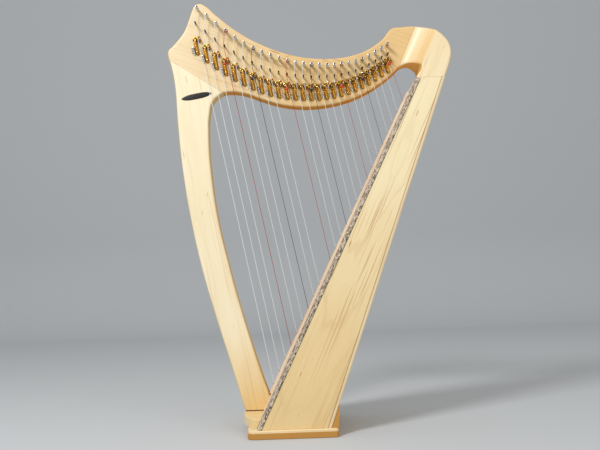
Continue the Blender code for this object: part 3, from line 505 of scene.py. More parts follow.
blank = {
    "thickness": 0.038,
    "roundOver": 0.005,
    "pillarFeet": ((-0.0237, -0.0203), (0.0483, -0.0203)),  # from the soundbox's lowest front corner
    "footTop": 0.0383,
    "darkLayer": 0.0020,  # the dark layer between the foot and the pillar
    "glueLine": 0.00005,
    "pillarOuter": (
        (0.060, 0.0050), (0.172, 0.0132), (0.302, 0.0234), (0.431, 0.0307), (0.560, 0.0309),
        (0.689, 0.0250), (0.816, 0.0123), (0.923, -0.0010), (0.975, -0.0019),
    ),  # share of the way up, and how far it bows to the left
    "pillarInner": (
        (0.027, 0.0022), (0.119, 0.0156), (0.193, 0.0232), (0.343, 0.0349), (0.491, 0.0419),
        (0.640, 0.0448), (0.788, 0.0378), (0.898, 0.0257), (0.968, 0.0122),
    ),
    "head": (
        (-0.5760, 0.0845), (-0.5750, 0.0975), (-0.5660, 0.1065), (-0.5541, 0.1191), (-0.5370, 0.1415),
        (-0.5250, 0.1695), (-0.5170, 0.1915), (-0.5110, 0.2025), (-0.5000, 0.2075), (-0.4870, 0.2025),
    ),  # from the soundbox's top front corner, as are the outlines and seams that follow
    "top": (
        (-0.4610, 0.1785), (-0.4060, 0.1335), (-0.3500, 0.1015), (-0.2940, 0.0793), (-0.2380, 0.0675),
        (-0.1820, 0.0655), (-0.1440, 0.0707), (-0.1049, 0.0844), (-0.0706, 0.1078), (-0.0479, 0.1322),
    ),
    "shoulder": (
        (-0.0280, 0.1343), (0.0090, 0.1348), (0.0305, 0.1272), (0.0480, 0.1128), (0.0650, 0.0970),
        (0.0767, 0.0780), (0.0795, 0.0555), (0.0744, 0.0333),
    ),
    "arch": ((0.0100, 0.0285), (0.0022, 0.0385), (-0.0088, 0.0443), (-0.0187, 0.0448), (-0.0353, 0.0379)),
    "bottom": (
        (-0.0450, 0.0285), (-0.0835, -0.0008), (-0.1248, -0.0234), (-0.1641, -0.0374), (-0.2222, -0.0476),
        (-0.2806, -0.0467), (-0.3190, -0.0395), (-0.3576, -0.0269), (-0.3946, -0.0126), (-0.4294, -0.0064),
        (-0.4478, -0.0082), (-0.4613, -0.0155), (-0.4744, -0.0287),
    ),
    "pillarSeam": ((-0.5710, 0.0735), (-0.4870, 0.0175)),
    "shoulderSeam": ((0.0060, 0.1310), (-0.0320, 0.0480)),
    "cove": 0.046,  # the length over which the shoulder flares
    "coveCuts": 10,
    "seamGap": 0.0003,
    "boxGap": 0.0003,
    "boardOver": 0.0043,  # how far the shoulder stands out over the soundboard
}
topCorner = Vector((boardTop.x, boardTop.z + blank["boxGap"]))


def fromTop(points):
    return [topCorner + Vector(p) for p in points]


def bowed(line, bottom, top):
    run = top - bottom
    left = Vector((-run.y, run.x)).normalized()
    return [bottom + run * share + left * bow for share, bow in line]


def blankOutline():
    # (point, is a corner) pairs, clockwise as seen from the front
    outerFoot, innerFoot = (Vector((boardFoot.x + x, boardFoot.z + z)) for x, z in blank["pillarFeet"])
    head, bottom = fromTop(blank["head"]), fromTop(blank["bottom"])
    below = 3 * blank["roundOver"]
    backSlope = (backTop.x - backFoot.x) / (backTop.z - backFoot.z)
    boardSlope = boardUp.x / boardUp.z
    back = Vector((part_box("back_panel")[1].x, topCorner.y))
    arch = topCorner - Vector((blank["boardOver"] / boardUp.z, 0))
    outer = bowed(blank["pillarOuter"], outerFoot, head[0]) + head
    outer += fromTop(blank["top"] + blank["shoulder"]) + [back]
    inner = [arch] + fromTop(blank["arch"]) + bottom
    inner += bowed(blank["pillarInner"], innerFoot, bottom[-1])[::-1]
    line = [(outerFoot, True)] + [(p, False) for p in outer]
    line += [(back - Vector((backSlope, 1)) * below, True), (arch - Vector((boardSlope, 1)) * below, True)]
    return line + [(p, False) for p in inner] + [(innerFoot, True)]


def makeBlank():
    line = blankOutline()
    sawn = begin(bpy.ops.curve.primitive_bezier_circle_add, radius=0.1)
    sawn.name = "blank"
    curve = sawn.data
    points = curve.splines[0].bezier_points
    points.add(len(line) - len(points))
    for knot, (place, corner) in zip(points, line):
        knot.co = (place.x, place.y, 0)
        knot.handle_left_type = knot.handle_right_type = "VECTOR" if corner else "AUTO"
    curve.dimensions = "2D"
    curve.fill_mode = "BOTH"
    curve.resolution_u = 6
    curve.extrude = blank["thickness"] / 2 - blank["roundOver"]
    curve.bevel_depth = blank["roundOver"]
    curve.bevel_resolution = 4
    curve.offset = -blank["roundOver"]
    bpy.ops.object.convert(target="MESH")
    sawn = bpy.context.active_object
    middle = Matrix.Translation((0, blank["thickness"] / 2, 0))
    sawn.data.transform(middle @ Matrix.Rotation(math.pi / 2, 4, "X"))
    mend(sawn, hair / 2)
    return sawn


def seamPlane(ends, way):
    # a plane through two points of the drawing, whose normal points the given way
    a, b = (Vector((p.x, 0, p.y)) for p in fromTop(ends))
    along = (b - a).normalized()
    normal = Vector((-along.z, 0, along.x))
    if normal.dot(way) < 0:
        normal.negate()
    return a - normal * blank["seamGap"] / 2, normal


def sawAlong(obj, place, normal, part=True):
    # keeps what lies behind the plane
    startEdit(obj, action="SELECT")
    bpy.ops.mesh.bisect(plane_co=place, plane_no=normal, use_fill=part, clear_outer=part, threshold=hair / 10)
    endEdit()


def flareShoulder(shoulder, start, normal):
    # widens it from the seam, where it is as thick as the neck, to the soundbox
    for cut in range(1, blank["coveCuts"] + 1):
        sawAlong(shoulder, start - normal * blank["cove"] * cut / blank["coveCuts"], normal, False)
    edge, thick = blank["roundOver"], blank["thickness"]
    for vert in shoulder.data.vertices:
        co = vert.co
        along = min(max((start - co).dot(normal) / blank["cove"], 0), 1)
        flare = 1 - math.cos(along * math.pi / 2)
        near = mix(0, -halfWidth(co.z), flare)
        far = mix(thick, halfWidth(co.z), flare)
        if co.y <= edge:
            co.y += near
        elif co.y >= thick - edge:
            co.y += far - thick
        else:
            co.y = mix(near + edge, far - edge, (co.y - edge) / (thick - 2 * edge))


def makeFramePieces():
    sawn = makeBlank()
    names = ("pillarWood", "neckWood", "shoulderWood", "footDarkLayer")
    pillar, neck, shoulder, darkLayer = [copyTo(sawn, name) for name in names]
    putAway(sawn)
    layer = upward * (blank["footTop"] + blank["darkLayer"])
    sawAlong(pillar, *seamPlane(blank["pillarSeam"], upward))
    sawAlong(pillar, layer, -upward)
    sawAlong(darkLayer, layer - upward * blank["glueLine"], upward)
    sawAlong(darkLayer, upward * blank["footTop"], -upward)
    toNeck = seamPlane(blank["shoulderSeam"], -rightward)
    sawAlong(neck, *seamPlane(blank["pillarSeam"], -upward))
    sawAlong(neck, *seamPlane(blank["shoulderSeam"], rightward))
    sawAlong(shoulder, *seamPlane(blank["pillarSeam"], -upward))
    sawAlong(shoulder, *toNeck)
    sawAlong(shoulder, upward * topCorner.y, -upward)
    flareShoulder(shoulder, *toNeck)
    for piece, wood, node, slot in (
        (pillar, "pillar", "pillar", "maple"),
        (neck, "neck", "neck", "neck_maple"),
        (shoulder, "shoulder", "shoulder_block", "maple"),
    ):
        softShade(piece, 28, weighted=True)
        paint(piece, woods[wood])
        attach(piece, "frame")
        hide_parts(node)
    dressed(darkLayer, woods["darkLayer"], 28)
    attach(darkLayer, "frame")


makeFramePieces()
print("pillar, neck and shoulder sawn")


# CAD nodes that stay, with their finishes

for node, wood in (
    ("base", "base"), ("pillar_foot", "foot"), ("side_left", "side"), ("side_right", "side"),
    ("back_panel", "back"), ("soundboard", "board"),
):
    for slot in nodes[node].material_slots:
        slot.material = woods[wood]


# Small solids that the fittings are built from

axisTurns = {"X": (0, math.pi / 2, 0), "Y": (math.pi / 2, 0, 0), "Z": (0, 0, 0)}


def addRound(radius, low, high, axis, place=(0, 0, 0), sides=24, bevel=0.0):
    # a turned rod from low to high along an axis, with its ends eased
    middle = Vector(place)
    middle["XYZ".index(axis)] += (low + high) / 2
    rod = begin(
        bpy.ops.mesh.primitive_cylinder_add, vertices=sides, radius=radius, depth=high - low,
        location=middle, rotation=axisTurns[axis],
    )
    settle(rod)
    if bevel:
        ease(rod, bevel)
    return rod


def addBlock(low, high, bevel, segments=2):
    middle = [(a + b) / 2 for a, b in zip(low, high)]
    block = begin(bpy.ops.mesh.primitive_cube_add, size=1, location=middle)
    block.scale = [b - a for a, b in zip(low, high)]
    settle(block)
    shape(block, "BEVEL", width=bevel, segments=segments, limit_method="NONE")
    return block


def addRing(radius, wire, axis, material, place=(0, 0, 0), major=28):
    ring = begin(
        bpy.ops.mesh.primitive_torus_add, location=place, rotation=axisTurns[axis],
        major_segments=major, minor_segments=8, major_radius=radius, minor_radius=wire,
    )
    settle(ring)
    return dressed(ring, material, 60)


def stretchDown(obj, below, distance):
    # moves what lies below a height further down, which draws a round shape out
    startEdit(obj)
    selectVerts(obj, lambda co: co.z < below)
    bpy.ops.transform.translate(value=(0, 0, -distance))
    endEdit()


# Brackets, which stay on the neck. Local y is out of the wood where it is negative.

bracket = {
    "left": -0.0125, "right": -0.0038, "above": 0.0075,
    "below": (0.0360, 0.0280),  # bass and treble
    "stretchBelow": -0.0095,
    "plate": 0.0016, "sunk": 0.0003, "bevel": 0.0004,
    "tab": ((-0.0040, -0.0011, -0.0060), (0.0045, 0.0003, 0.0090)),  # under the ear and the fret
    "ear": (0.0023, 0.0037), "earHalf": 0.0045, "earTop": 0.0093,
    "fretUp": 0.0066, "fretTop": 0.0103, "fretRadius": 0.0010,
    "ring": {"x": -0.0070, "z": 0.0010, "radius": 0.0048, "wire": 0.0008, "tall": 1.45},
    # each screw's parts have a radius, and two ends that stand out from what carries them
    "screw": {
        "at": (-0.0100, 0.0048), "head": (0.0016, 0.0009, -0.0002), "paintedRecessShade": (0.000832, 0.00098, 0.0005),
    },
    "springScrew": {"up": 0.0065, "head": (0.0019, 0.0009, -0.0010), "paintedRecessShade": (0.0010, 0.0010, 0.0)},
    # the strip and the lobe are drawn for the bass, and wide and long are their shares in the treble
    "spring": {"x": (-0.0112, -0.0051), "z": (-0.0080, -0.0350), "out": 0.0034, "wide": 0.70, "long": 0.70},
    "lobe": {"x": (-0.0205, -0.0127), "z": (-0.0130, -0.0340), "out": 0.0050, "wide": 0.64, "long": 0.52},
    # black rings across the lobe: painted reflections in its chrome
    "darkReflectionRings": {"count": 4, "share": 0.93, "wire": 0.0007, "tilt": 18, "inset": 1.1},
    "post": {
        "x": 0.0055, "z": -0.0050, "radius": 0.0013, "body": 0.0080, "out": 0.0160, "tip": 0.8, "lap": 0.0004,
    },
}


def addScrew(x, z, face, size):
    # a raised head, with a black disc for its recess: painted shade
    parts = []
    for (radius, outer, inner), sides, bevel, material in (
        (size["head"], 20, 0.0003, metals["gilt"]), (size["paintedRecessShade"], 16, 0, plastics["black"]),
    ):
        rod = addRound(radius, -face - outer, -face - inner, "Y", (x, 0, z), sides, bevel)
        parts.append(dressed(rod, material))
    return parts


def addPad(size, material):
    # a long pad with rounded ends, whose top is at the origin's height
    (left, right), (top, end) = size["x"], size["z"]
    radius = (right - left) / 2
    pad = begin(
        bpy.ops.mesh.primitive_uv_sphere_add, segments=20, ring_count=12,
        radius=radius, rotation=axisTurns["Y"],
    )
    settle(pad)
    for vert in pad.data.vertices:
        co = vert.co
        full = 1 - min(math.hypot(co.x, co.z) / radius, 1) ** 4
        co.y = math.copysign(full, co.y) * size["out"]
    stretchDown(pad, -hair, top - end - 2 * radius)
    pad.data.transform(Matrix.Translation(((left + right) / 2, 0, -radius)))
    return dressed(pad, material, 60)


def makeEar():
    # half round at its top and square where it meets the plate
    foot = -bracket["plate"] / 2
    middle = bracket["earHalf"] - bracket["earTop"]
    ear = addRound(bracket["earHalf"], *bracket["ear"], "X", (0, middle, 0), 32)
    startEdit(ear)
    selectVerts(ear, lambda co: co.y > middle + hair)
    bpy.ops.transform.translate(value=(0, foot - middle, 0))
    endEdit()
    for vert in ear.data.vertices:
        vert.co.y = min(vert.co.y, foot)
    ease(ear, 0.0003)
    return dressed(ear, metals["amber"])


def makeBracket():
    middle = (bracket["left"] + bracket["right"]) / 2
    radius = (bracket["right"] - bracket["left"]) / 2
    face, above = bracket["plate"], bracket["above"]
    plate = addRound(radius, -face, bracket["sunk"], "Y", (middle, 0, above - radius), 40)
    stretchDown(plate, above - radius - hair, above + bracket["below"][1] - 2 * radius)
    ease(plate, bracket["bevel"])
    fret = addRound(bracket["fretRadius"], -bracket["fretTop"], 0, "Y", (0, 0, bracket["fretUp"]), 16, 0.0003)
    size = bracket["ring"]
    ring = addRing(size["radius"], size["wire"], "Y", metals["gilt"], (0, -face - size["wire"] * 0.8, 0))
    taller = Matrix.Diagonal((1, 1, size["tall"], 1))
    ring.data.transform(Matrix.Translation((size["x"], 0, size["z"])) @ taller)
    parts = [dressed(plate, metals["brass"]), makeEar(), dressed(fret, metals["chrome"]), ring]
    parts += addScrew(*bracket["screw"]["at"], face, bracket["screw"])
    parts.append(dressed(addBlock(*bracket["tab"], bracket["bevel"]), metals["brass"]))
    return joinAll(parts, "bracketPattern")


def makeSpring():
    # the raised strip down the plate, with a screw through its lower half
    size, screw = bracket["spring"], bracket["springScrew"]
    top, end = size["z"]
    screws = addScrew(sum(size["x"]) / 2, end - top + screw["up"], size["out"], screw)
    return joinAll([addPad(size, metals["amber"]), *screws], "springPattern")


def makeLobe():
    # the polished lobe beside the plate, with black rings across it: painted reflections
    size, darkReflectionRings = bracket["lobe"], bracket["darkReflectionRings"]
    (left, right), (top, end) = size["x"], size["z"]
    radius = (right - left) / 2
    parts = [addPad(size, metals["chrome"])]
    tilt = Matrix.Rotation(math.radians(darkReflectionRings["tilt"]), 4, "Y")
    flat = Matrix.Scale(size["out"] / radius, 4, (0, 1, 0))
    inset = radius * darkReflectionRings["inset"]
    for step in range(darkReflectionRings["count"]):
        ring = addRing(radius * darkReflectionRings["share"], darkReflectionRings["wire"], "Z", plastics["black"])
        down = mix(inset, top - end - inset, step / (darkReflectionRings["count"] - 1))
        ring.data.transform(Matrix.Translation(((left + right) / 2, 0, -down)) @ tilt @ flat)
        parts.append(ring)
    return joinAll(parts, "lobePattern")


def makePost():
    size = bracket["post"]
    radius, body = size["radius"], size["body"]
    stem = addRound(radius, -body, bracket["sunk"], "Y", sides=16, bevel=0.0002)
    tip = addRound(radius * size["tip"], -size["out"], -body + size["lap"], "Y", sides=16, bevel=0.0003)
    return joinAll([dressed(stem, metals["amber"]), dressed(tip, metals["blued"])], "postPattern")


def shrunk(size, share):
    # to its place on the plate, narrower and shorter towards the treble
    middle = sum(size["x"]) / 2
    smaller = Matrix.Diagonal((mix(1, size["wide"], share), 1, mix(1, size["long"], share), 1))
    return Matrix.Translation((middle, 0, size["z"][0])) @ smaller @ Matrix.Translation((-middle, 0, 0))


def placeBrackets():
    pattern, spring, lobe, post = makeBracket(), makeSpring(), makeLobe(), makePost()
    bass, treble = bracket["below"]
    for course in courses:
        plate = copyTo(pattern, "plate")
        longer = mix(bass, treble, course.share) - treble
        for vert in plate.data.vertices:
            if vert.co.z < bracket["stretchBelow"]:
                vert.co.z -= longer
        piece = joinAll([
            plate,
            copyTo(spring, "spring", shrunk(bracket["spring"], course.share)),
            copyTo(lobe, "lobe", shrunk(bracket["lobe"], course.share)),
            copyTo(post, "post", Matrix.Translation((bracket["post"]["x"], 0, bracket["post"]["z"]))),
        ], f"bracket_{course.tag}")
        piece.data.transform(course.turned(Vector((course.axle.x, 0, course.axle.z))))
        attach(piece, "frame")
    putAway(pattern, spring, lobe, post)


placeBrackets()
print("brackets placed")


# Levers, built straight out along -y about the axle and then turned to rest

lever = {
    "hub": (-0.0104, 0.0019), "hubRadius": 0.0028, "ring": 0.0005, "rings": (-0.0095, -0.0062, 0.0010),
    "axle": 0.0009, "cap": 0.0027, "capThick": 0.0020, "washer": (-0.0042, -0.0020), "washerRadius": 0.0034,
    "arm": {"x": (-0.0046, -0.0019), "reach": (0, 0.0160), "half": 0.0015, "bevel": (0.0005, 2)},
    "tip": {"x": (-0.0069, -0.0016), "reach": (0.0145, 0.0240), "half": 0.0026, "bevel": (0.0013, 4)},
    "cam": {"x": (-0.0016, 0.0016), "reach": (0, 0.0042), "half": 0.0010, "bevel": (0.0006, 2)},
    "tipShift": (-0.0038, 0.0),  # bass and treble
    "rest": 35, "travel": 100,
}


def addBar(size, degrees):
    # a bar out from the axle, turned about it
    (left, right), (near, far), half = size["x"], size["reach"], size["half"]
    bar = addBlock((left, -far, -half), (right, -near, half), *size["bevel"])
    bar.data.transform(Matrix.Rotation(math.radians(degrees), 4, "X"))
    return bar


def makeHub():
    low, high = lever["hub"]
    ear = bracket["ear"][1]
    parts = [dressed(addRound(lever["hubRadius"], low, high, "X", bevel=0.0002), metals["brass"])]
    for x in lever["rings"]:
        parts.append(addRing(lever["hubRadius"], lever["ring"], "X", metals["gilt"], (x, 0, 0), 24))
    axle = addRound(lever["axle"], high - 0.0005, ear + 0.0002, "X", sides=12)
    parts.append(dressed(axle, metals["nickel"]))
    for start, stop in ((low - lever["capThick"], low), (ear + 0.0001, ear + lever["capThick"])):
        cap = addRound(lever["cap"], start, stop, "X", sides=16, bevel=0.0002)
        parts.append(dressed(cap, plastics["black"]))
    washer = addRound(lever["washerRadius"], *lever["washer"], "X", bevel=0.0003)
    parts.append(dressed(washer, plastics["black"]))
    parts.append(dressed(addBar(lever["cam"], lever["travel"]), metals["chrome"]))
    return joinAll(parts, "hubPattern")


def makeHandle():
    arm, tip = addBar(lever["arm"], lever["rest"]), addBar(lever["tip"], lever["rest"])
    return joinAll([dressed(arm, metals["chrome"]), dressed(tip, metals["amber"])], "handlePattern")


def placeLevers():
    hub, handle = makeHub(), makeHandle()
    for course in courses:
        aside = Matrix.Translation((mix(*lever["tipShift"], course.share), 0, 0))
        piece = joinAll([copyTo(hub, "hub"), copyTo(handle, "handle", aside)], f"leverArm_{course.tag}")
        piece.data.transform(course.turned(course.axle))
        for slot in piece.material_slots:
            if slot.material == metals["amber"] and course.colour != "clear":
                slot.material = plastics[course.colour]
        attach(piece, f"lever_{course.tag}")
        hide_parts(f"lever_{course.tag}")
    putAway(hub, handle)


placeLevers()
print("levers placed")


# Tuning pins, with the turns of their strings, and bridge pins

tuningPin = {
    "depth": 0.028, "shoulder": 0.0195, "out": 0.0260, "squareHalf": 0.0022,
    "end": {"share": 0.68, "proud": 0.00008, "deep": 0.0010},  # the dark middle of the square's end
}
bridgePin = {
    # radius, start and end out of the wood, bevel and metal; the groove lies between stem and collar
    "core": (0.0014, -0.0004, 0.0200, 0, "bronze"),
    "stem": (0.0019, -0.0004, 0.0106, 0.0003, "bronze"),
    "collar": (0.0019, 0.0133, 0.0142, 0.0002, "bronze"),
    "end": (0.001786, 0.0139, 0.0210, 0.0005, "blued"),
}


def makeTube(points, radius, name, material, sides=8):
    curve = bpy.data.curves.new(name, "CURVE")
    curve.dimensions = "3D"
    curve.bevel_depth = radius
    curve.bevel_resolution = sides // 2 - 2
    curve.use_fill_caps = True
    spline = curve.splines.new("POLY")
    spline.points.add(len(points) - 1)
    for knot, point in zip(spline.points, points):
        knot.co = (*point, 1)
    tube = bpy.data.objects.new(name, curve)
    bpy.context.collection.objects.link(tube)
    pick(tube)
    bpy.ops.object.convert(target="MESH")
    tube = bpy.context.active_object
    mend(tube)
    return dressed(tube, material, 60)


def makePinPattern():
    half, shoulder, end = tuningPin["squareHalf"], -tuningPin["shoulder"], -tuningPin["out"]
    shaft = addRound(windings["pinRadius"], shoulder, tuningPin["depth"], "Y", sides=28, bevel=0.0006)
    square = addBlock((-half, end, -half), (half, shoulder + 0.001, half), 0.0005)
    size = tuningPin["end"]
    half *= size["share"]
    dark = addBlock((-half, end - size["proud"], -half), (half, end + size["deep"], half), 0.0001)
    parts = [dressed(piece, metals["nickel"]) for piece in (shaft, square)]
    return joinAll([*parts, dressed(dark, metals["blued"])], "pinPattern")


def makeBridgePattern():
    return joinAll([
        dressed(addRound(radius, -end, -start, "Y", sides=16, bevel=bevel), metals[metal])
        for radius, start, end, bevel, metal in bridgePin.values()
    ], "bridgePattern")


def coilPoints(course):
    # clockwise as seen from the front, from where the straight string would touch it
    phase = math.atan2(course.side.z, course.side.x)
    radius = course.coilRadius
    pitch = course.diameter + windings["gap"]
    steps = windings["stepsPerTurn"]
    coil = []
    for step in range(windings["turns"] * steps + 1):
        angle = phase - 2 * math.pi * step / steps
        out = stringSizes["out"] + pitch * step / steps
        coil.append(course.tuning + Vector((radius * math.cos(angle), -out, radius * math.sin(angle))))
    tangent = Vector((math.sin(phase), 0, -math.cos(phase)))
    centre = Vector((course.tuning.x, coil[-1].y - pitch / steps, course.tuning.z))
    inside = mix(centre, coil[-1], windings["inward"])
    return [coil[0] - tangent * course.diameter, *coil, inside], phase


def placePins():
    pinPattern, bridgePattern = makePinPattern(), makeBridgePattern()
    for course in courses:
        coil, phase = coilPoints(course)
        place = Matrix.Translation(course.tuning) @ Matrix.Rotation(-phase, 4, "Y")
        pin = copyTo(pinPattern, f"tuningPin_{course.tag}", place)
        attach(pin, f"tuning_pin_{course.tag}")
        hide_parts(f"tuning_pin_{course.tag}")
        if course.number != stringSizes["bare"]:
            winding = makeTube(coil, course.diameter / 2, f"winding_{course.tag}", nylons[course.colour])
            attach(winding, f"tuning_pin_{course.tag}")
        post = copyTo(bridgePattern, f"bridgePin_{course.tag}", Matrix.Translation(course.bridge))
        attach(post, "frame")
    putAway(pinPattern, bridgePattern)


placePins()
print("pins placed")


# Strings, their eyelets and the inner rib

ribs = {"half": 0.010, "inner": 0.006, "faceToBoard": 0.0083, "past": 0.022, "bevel": 0.0010}
eyelet = {"radius": 0.0019, "wire": 0.0007, "lift": 0.0002}


def stringPoints(course):
    # from inside the rib up past the lever, round the bridge pin and on to the tuning pin
    out = Vector((0, -stringSizes["out"], 0))
    points = [
        course.foot - boardOut * stringSizes["tail"],
        course.foot - boardOut * course.diameter,
        mix(course.foot, course.contact + out, course.diameter / course.length),
    ]
    start = (course.contact - course.bridge).normalized()
    steps = stringSizes["bendSteps"]
    for step in range(steps + 1):
        way = start.lerp(course.side, step / steps).normalized()
        points.append(course.bridge + way * course.bend + out)
    return points + [course.tuning + course.side * course.coilRadius + out]


def placeStrings():
    ring = addRing(eyelet["radius"], eyelet["wire"], "Z", metals["brass"], major=20)
    flat = Matrix((boardUp, (0, -1, 0), boardOut)).transposed().to_4x4()
    for course in courses:
        if course.number == stringSizes["bare"]:
            continue
        radius, nylon = course.diameter / 2, nylons[course.colour]
        string = makeTube(stringPoints(course), radius, f"string_{course.tag}", nylon, stringSizes["sides"])
        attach(string, "frame")
        place = Matrix.Translation(course.foot + boardOut * eyelet["lift"])
        piece = copyTo(ring, f"eyelet_{course.tag}", place @ flat)
        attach(piece, "frame")
    putAway(ring)


def makeInnerRib():
    ends = [course.foot.dot(boardUp) for course in courses]
    low, high = min(ends) - ribs["past"], max(ends) + ribs["past"]
    face = ribFace - ribs["faceToBoard"]
    bar = addBlock((-ribs["half"], low, face - ribs["inner"]), (ribs["half"], high, face), ribs["bevel"])
    bar.data.transform(Matrix(((0, -1, 0), boardUp, boardOut)).transposed().to_4x4())
    bar.name = "innerRib"
    dressed(bar, woods["board"])
    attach(bar, "frame")
    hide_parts("strings")


placeStrings()
makeInnerRib()
print("strings placed")


# Trim: the inlaid strips along the soundbox and the oval plate on the pillar

strip = {
    "width": 0.0104, "proud": 0.0005, "sunk": 0.0012, "short": 0.001,
    "inset": -0.0042,  # it starts over the edge of the soundboard
    "cell": 0.0052, "row": 0.45, "gap": 0.00028, "palerShare": -0.1,
    "columns": (("f0dcc6", "8e6a58", "5e4438", 0.0), ("f4e4c4", "17120f", "120e0c", 0.37)),
    "border": "2a1c13", "roughness": 0.42,
}


def makeWeave():
    # a woven band of two columns, brown towards the strings and black behind
    made, tree, shader = newMaterial("wovenStrip")
    parts = addNode(tree, "SeparateXYZ", [(0, addNode(tree, "UVMap").outputs[0])])
    across, along = parts.outputs["X"], parts.outputs["Y"]
    woven = []
    for pale, dark, mortar, shift in strip["columns"]:
        flat = addNode(tree, "CombineXYZ", [(0, addMath(tree, "ADD", along, shift)), (1, across)])
        woven.append(addNode(tree, "TexBrick", [
            ("Vector", flat.outputs[0]), ("Scale", 1.0),
            ("Color1", hexColour(pale)), ("Color2", hexColour(dark)), ("Mortar", hexColour(mortar)),
            ("Mortar Size", strip["gap"]), ("Brick Width", strip["cell"]),
            ("Row Height", strip["cell"] * strip["row"]), ("Bias", strip["palerShare"]),
        ]).outputs["Color"])
    share = addMath(tree, "MULTIPLY", across, 1 / strip["width"])
    colour = addMix(tree, addRamp(tree, share, 0.49, 0.51), *woven)
    border = addMath(tree, "ABSOLUTE", addMath(tree, "SUBTRACT", share, 0.5))
    colour = addMix(tree, addRamp(tree, border, 0.43, 0.45), colour, hexColour(strip["border"]))
    bump = addNode(tree, "Bump", [("Height", woven[1]), ("Strength", 0.2), ("Distance", 0.0002)]).outputs[0]
    plug(tree, shader, [("Base Color", colour), ("Normal", bump), ("Roughness", strip["roughness"])])
    return made


def makeStrip(side, name, material):
    # a flat band that lies on the outer face of one side, along its front edge
    foot = Vector((boardFoot.x, side * -boardFoot.y, boardFoot.z))
    top = Vector((boardTop.x, side * -boardTop.y, boardTop.z))
    along = (top - foot).normalized()
    inBack = Vector((backTop.x, side * halfWidth(backTop.z), backTop.z)) - top
    back = (inBack - along * inBack.dot(along)).normalized()
    outward = along.cross(back)
    if outward.y * side < 0:
        outward.negate()
    length = (top - foot).length
    band = begin(bpy.ops.mesh.primitive_grid_add, x_subdivisions=2, y_subdivisions=24, size=1)
    for vert in band.data.vertices:
        deep = strip["inset"] + (vert.co.x + 0.5) * strip["width"]
        up = along * mix(strip["short"], length - strip["short"], vert.co.y + 0.5)
        vert.co = foot + up + back * deep + outward * strip["proud"]
    layer = band.data.uv_layers.active
    for loop in band.data.loops:
        co = band.data.vertices[loop.vertex_index].co - foot
        layer.data[loop.index].uv = (co.dot(back) - strip["inset"], co.dot(along))
    mend(band)
    if band.data.polygons[0].normal.dot(outward) < 0:
        startEdit(band, action="SELECT")
        bpy.ops.mesh.flip_normals()
        endEdit()
    shape(band, "SOLIDIFY", thickness=strip["proud"] + strip["sunk"], offset=-1)
    band.name = name
    paint(band, material)
    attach(band, "frame")


weave = makeWeave()
makeStrip(-1, "edgeStripNear", weave)
makeStrip(1, "edgeStripFar", weave)

oval = {
    "middle": (-0.2630, 0.7685), "half": 0.0362, "rise": 0.0068, "tilt": 9.8, "thick": 0.0008,
    "fullness": 3.2, "roundness": 0.8, "sunk": 0.0002, "bevel": 0.0003,
}


def makeOval():
    # a thin bare plate with two pointed ends
    plate = begin(
        bpy.ops.mesh.primitive_circle_add, vertices=64, radius=1, fill_type="NGON", rotation=axisTurns["Y"]
    )
    settle(plate)
    for vert in plate.data.vertices:
        x = oval["half"] * vert.co.x
        edge = oval["rise"] * (1 - min(abs(vert.co.x), 1) ** oval["fullness"]) ** oval["roundness"]
        vert.co = (x, 0, edge if vert.co.z > 0 else -edge)
    startEdit(plate, "FACE", "SELECT")
    bpy.ops.mesh.extrude_region_move(TRANSFORM_OT_translate={"value": (0, -oval["thick"], 0)})
    endEdit()
    mend(plate)
    ease(plate, oval["bevel"], 60)
    place = Matrix.Translation((oval["middle"][0], oval["sunk"], oval["middle"][1]))
    plate.data.transform(place @ Matrix.Rotation(math.radians(-oval["tilt"]), 4, "Y"))
    plate.name = "ovalPlate"
    dressed(plate, plastics["plate"])
    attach(plate, "frame")


makeOval()
print("trim placed")


# Stage, lights and camera

stage = {
    "colour": "c9ccce", "behind": 3.2, "curve": 0.6, "steps": 12, "high": 3.0, "half": 4.0, "front": -4.0,
}


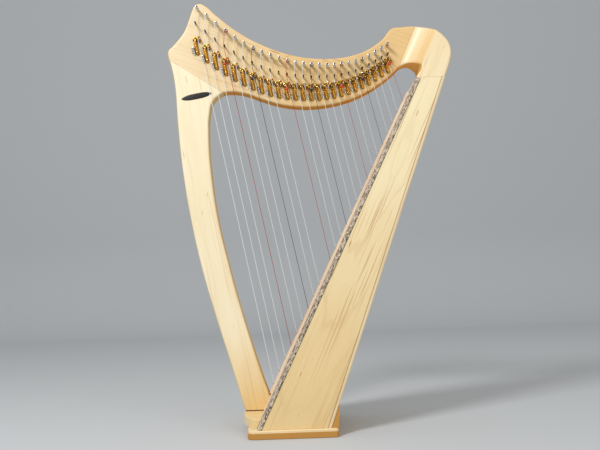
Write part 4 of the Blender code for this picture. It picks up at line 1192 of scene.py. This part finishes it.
def makeStage():
    floor = begin(bpy.ops.mesh.primitive_plane_add, size=2 * stage["half"])
    floor.name = "studioSweep"
    for vert in floor.data.vertices:
        vert.co.y = stage["behind"] - stage["curve"] if vert.co.y > 0 else stage["front"]
    startEdit(floor, "EDGE")
    bm = bmesh.from_edit_mesh(floor.data)
    for edge in bm.edges:
        edge.select_set(all(v.co.y > 0 for v in edge.verts))
    bmesh.update_edit_mesh(floor.data)
    for step in range(stage["steps"]):
        a, b = (math.pi / 2 * (step + i) / stage["steps"] for i in (0, 1))
        move = (0, stage["curve"] * (math.sin(b) - math.sin(a)), stage["curve"] * (math.cos(a) - math.cos(b)))
        bpy.ops.mesh.extrude_region_move(TRANSFORM_OT_translate={"value": move})
    bpy.ops.mesh.extrude_region_move(TRANSFORM_OT_translate={"value": (0, 0, stage["high"])})
    endEdit()
    paper, tree, shader = newMaterial("studioPaper")
    plug(tree, shader, [("Base Color", hexColour(stage["colour"])), ("Roughness", 0.9)])
    dressed(floor, paper, 60)


lamps = (
    # name, place, size and power
    ("keyLamp", (-1.3, -1.7, 2.4), 0.7, 50.0),
    ("fillLamp", (1.9, -2.2, 1.2), 2.0, 14.0),
)
skyStrength = 0.50


def makeLamps(target):
    for name, place, size, power in lamps:
        data = bpy.data.lights.new(name, "AREA")
        data.shape = "DISK"
        data.size = size
        data.energy = power
        lamp = bpy.data.objects.new(name, data)
        lamp.location = place
        lamp.rotation_euler = (Vector(target) - Vector(place)).to_track_quat("-Z", "Y").to_euler()
        bpy.context.collection.objects.link(lamp)
    world = bpy.context.scene.world or bpy.data.worlds.new("World")
    bpy.context.scene.world = world
    world.use_nodes = True
    sky = world.node_tree.nodes["Background"]
    plug(world.node_tree, sky, [("Color", (1, 1, 1, 1)), ("Strength", skyStrength)])


photoCamera = {"place": (-0.0316, -1.750, 0.3485), "pitch": 3.6, "roll": 2.0, "lens": 45.48, "sensor": 36}


def makeCamera():
    data = bpy.data.cameras.new("photoCamera")
    data.sensor_width = photoCamera["sensor"]
    data.lens = photoCamera["lens"]
    camera = bpy.data.objects.new("photoCamera", data)
    upright = Matrix.Rotation(math.radians(90 + photoCamera["pitch"]), 4, "X")
    rolled = Matrix.Rotation(math.radians(-photoCamera["roll"]), 4, "Z")
    camera.matrix_world = Matrix.Translation(photoCamera["place"]) @ upright @ rolled
    bpy.context.collection.objects.link(camera)
    bpy.context.scene.camera = camera


makeStage()
makeLamps((0, 0, 0.5))
makeCamera()
bpy.context.scene.view_settings.view_transform = "Standard"

print("scene finished")
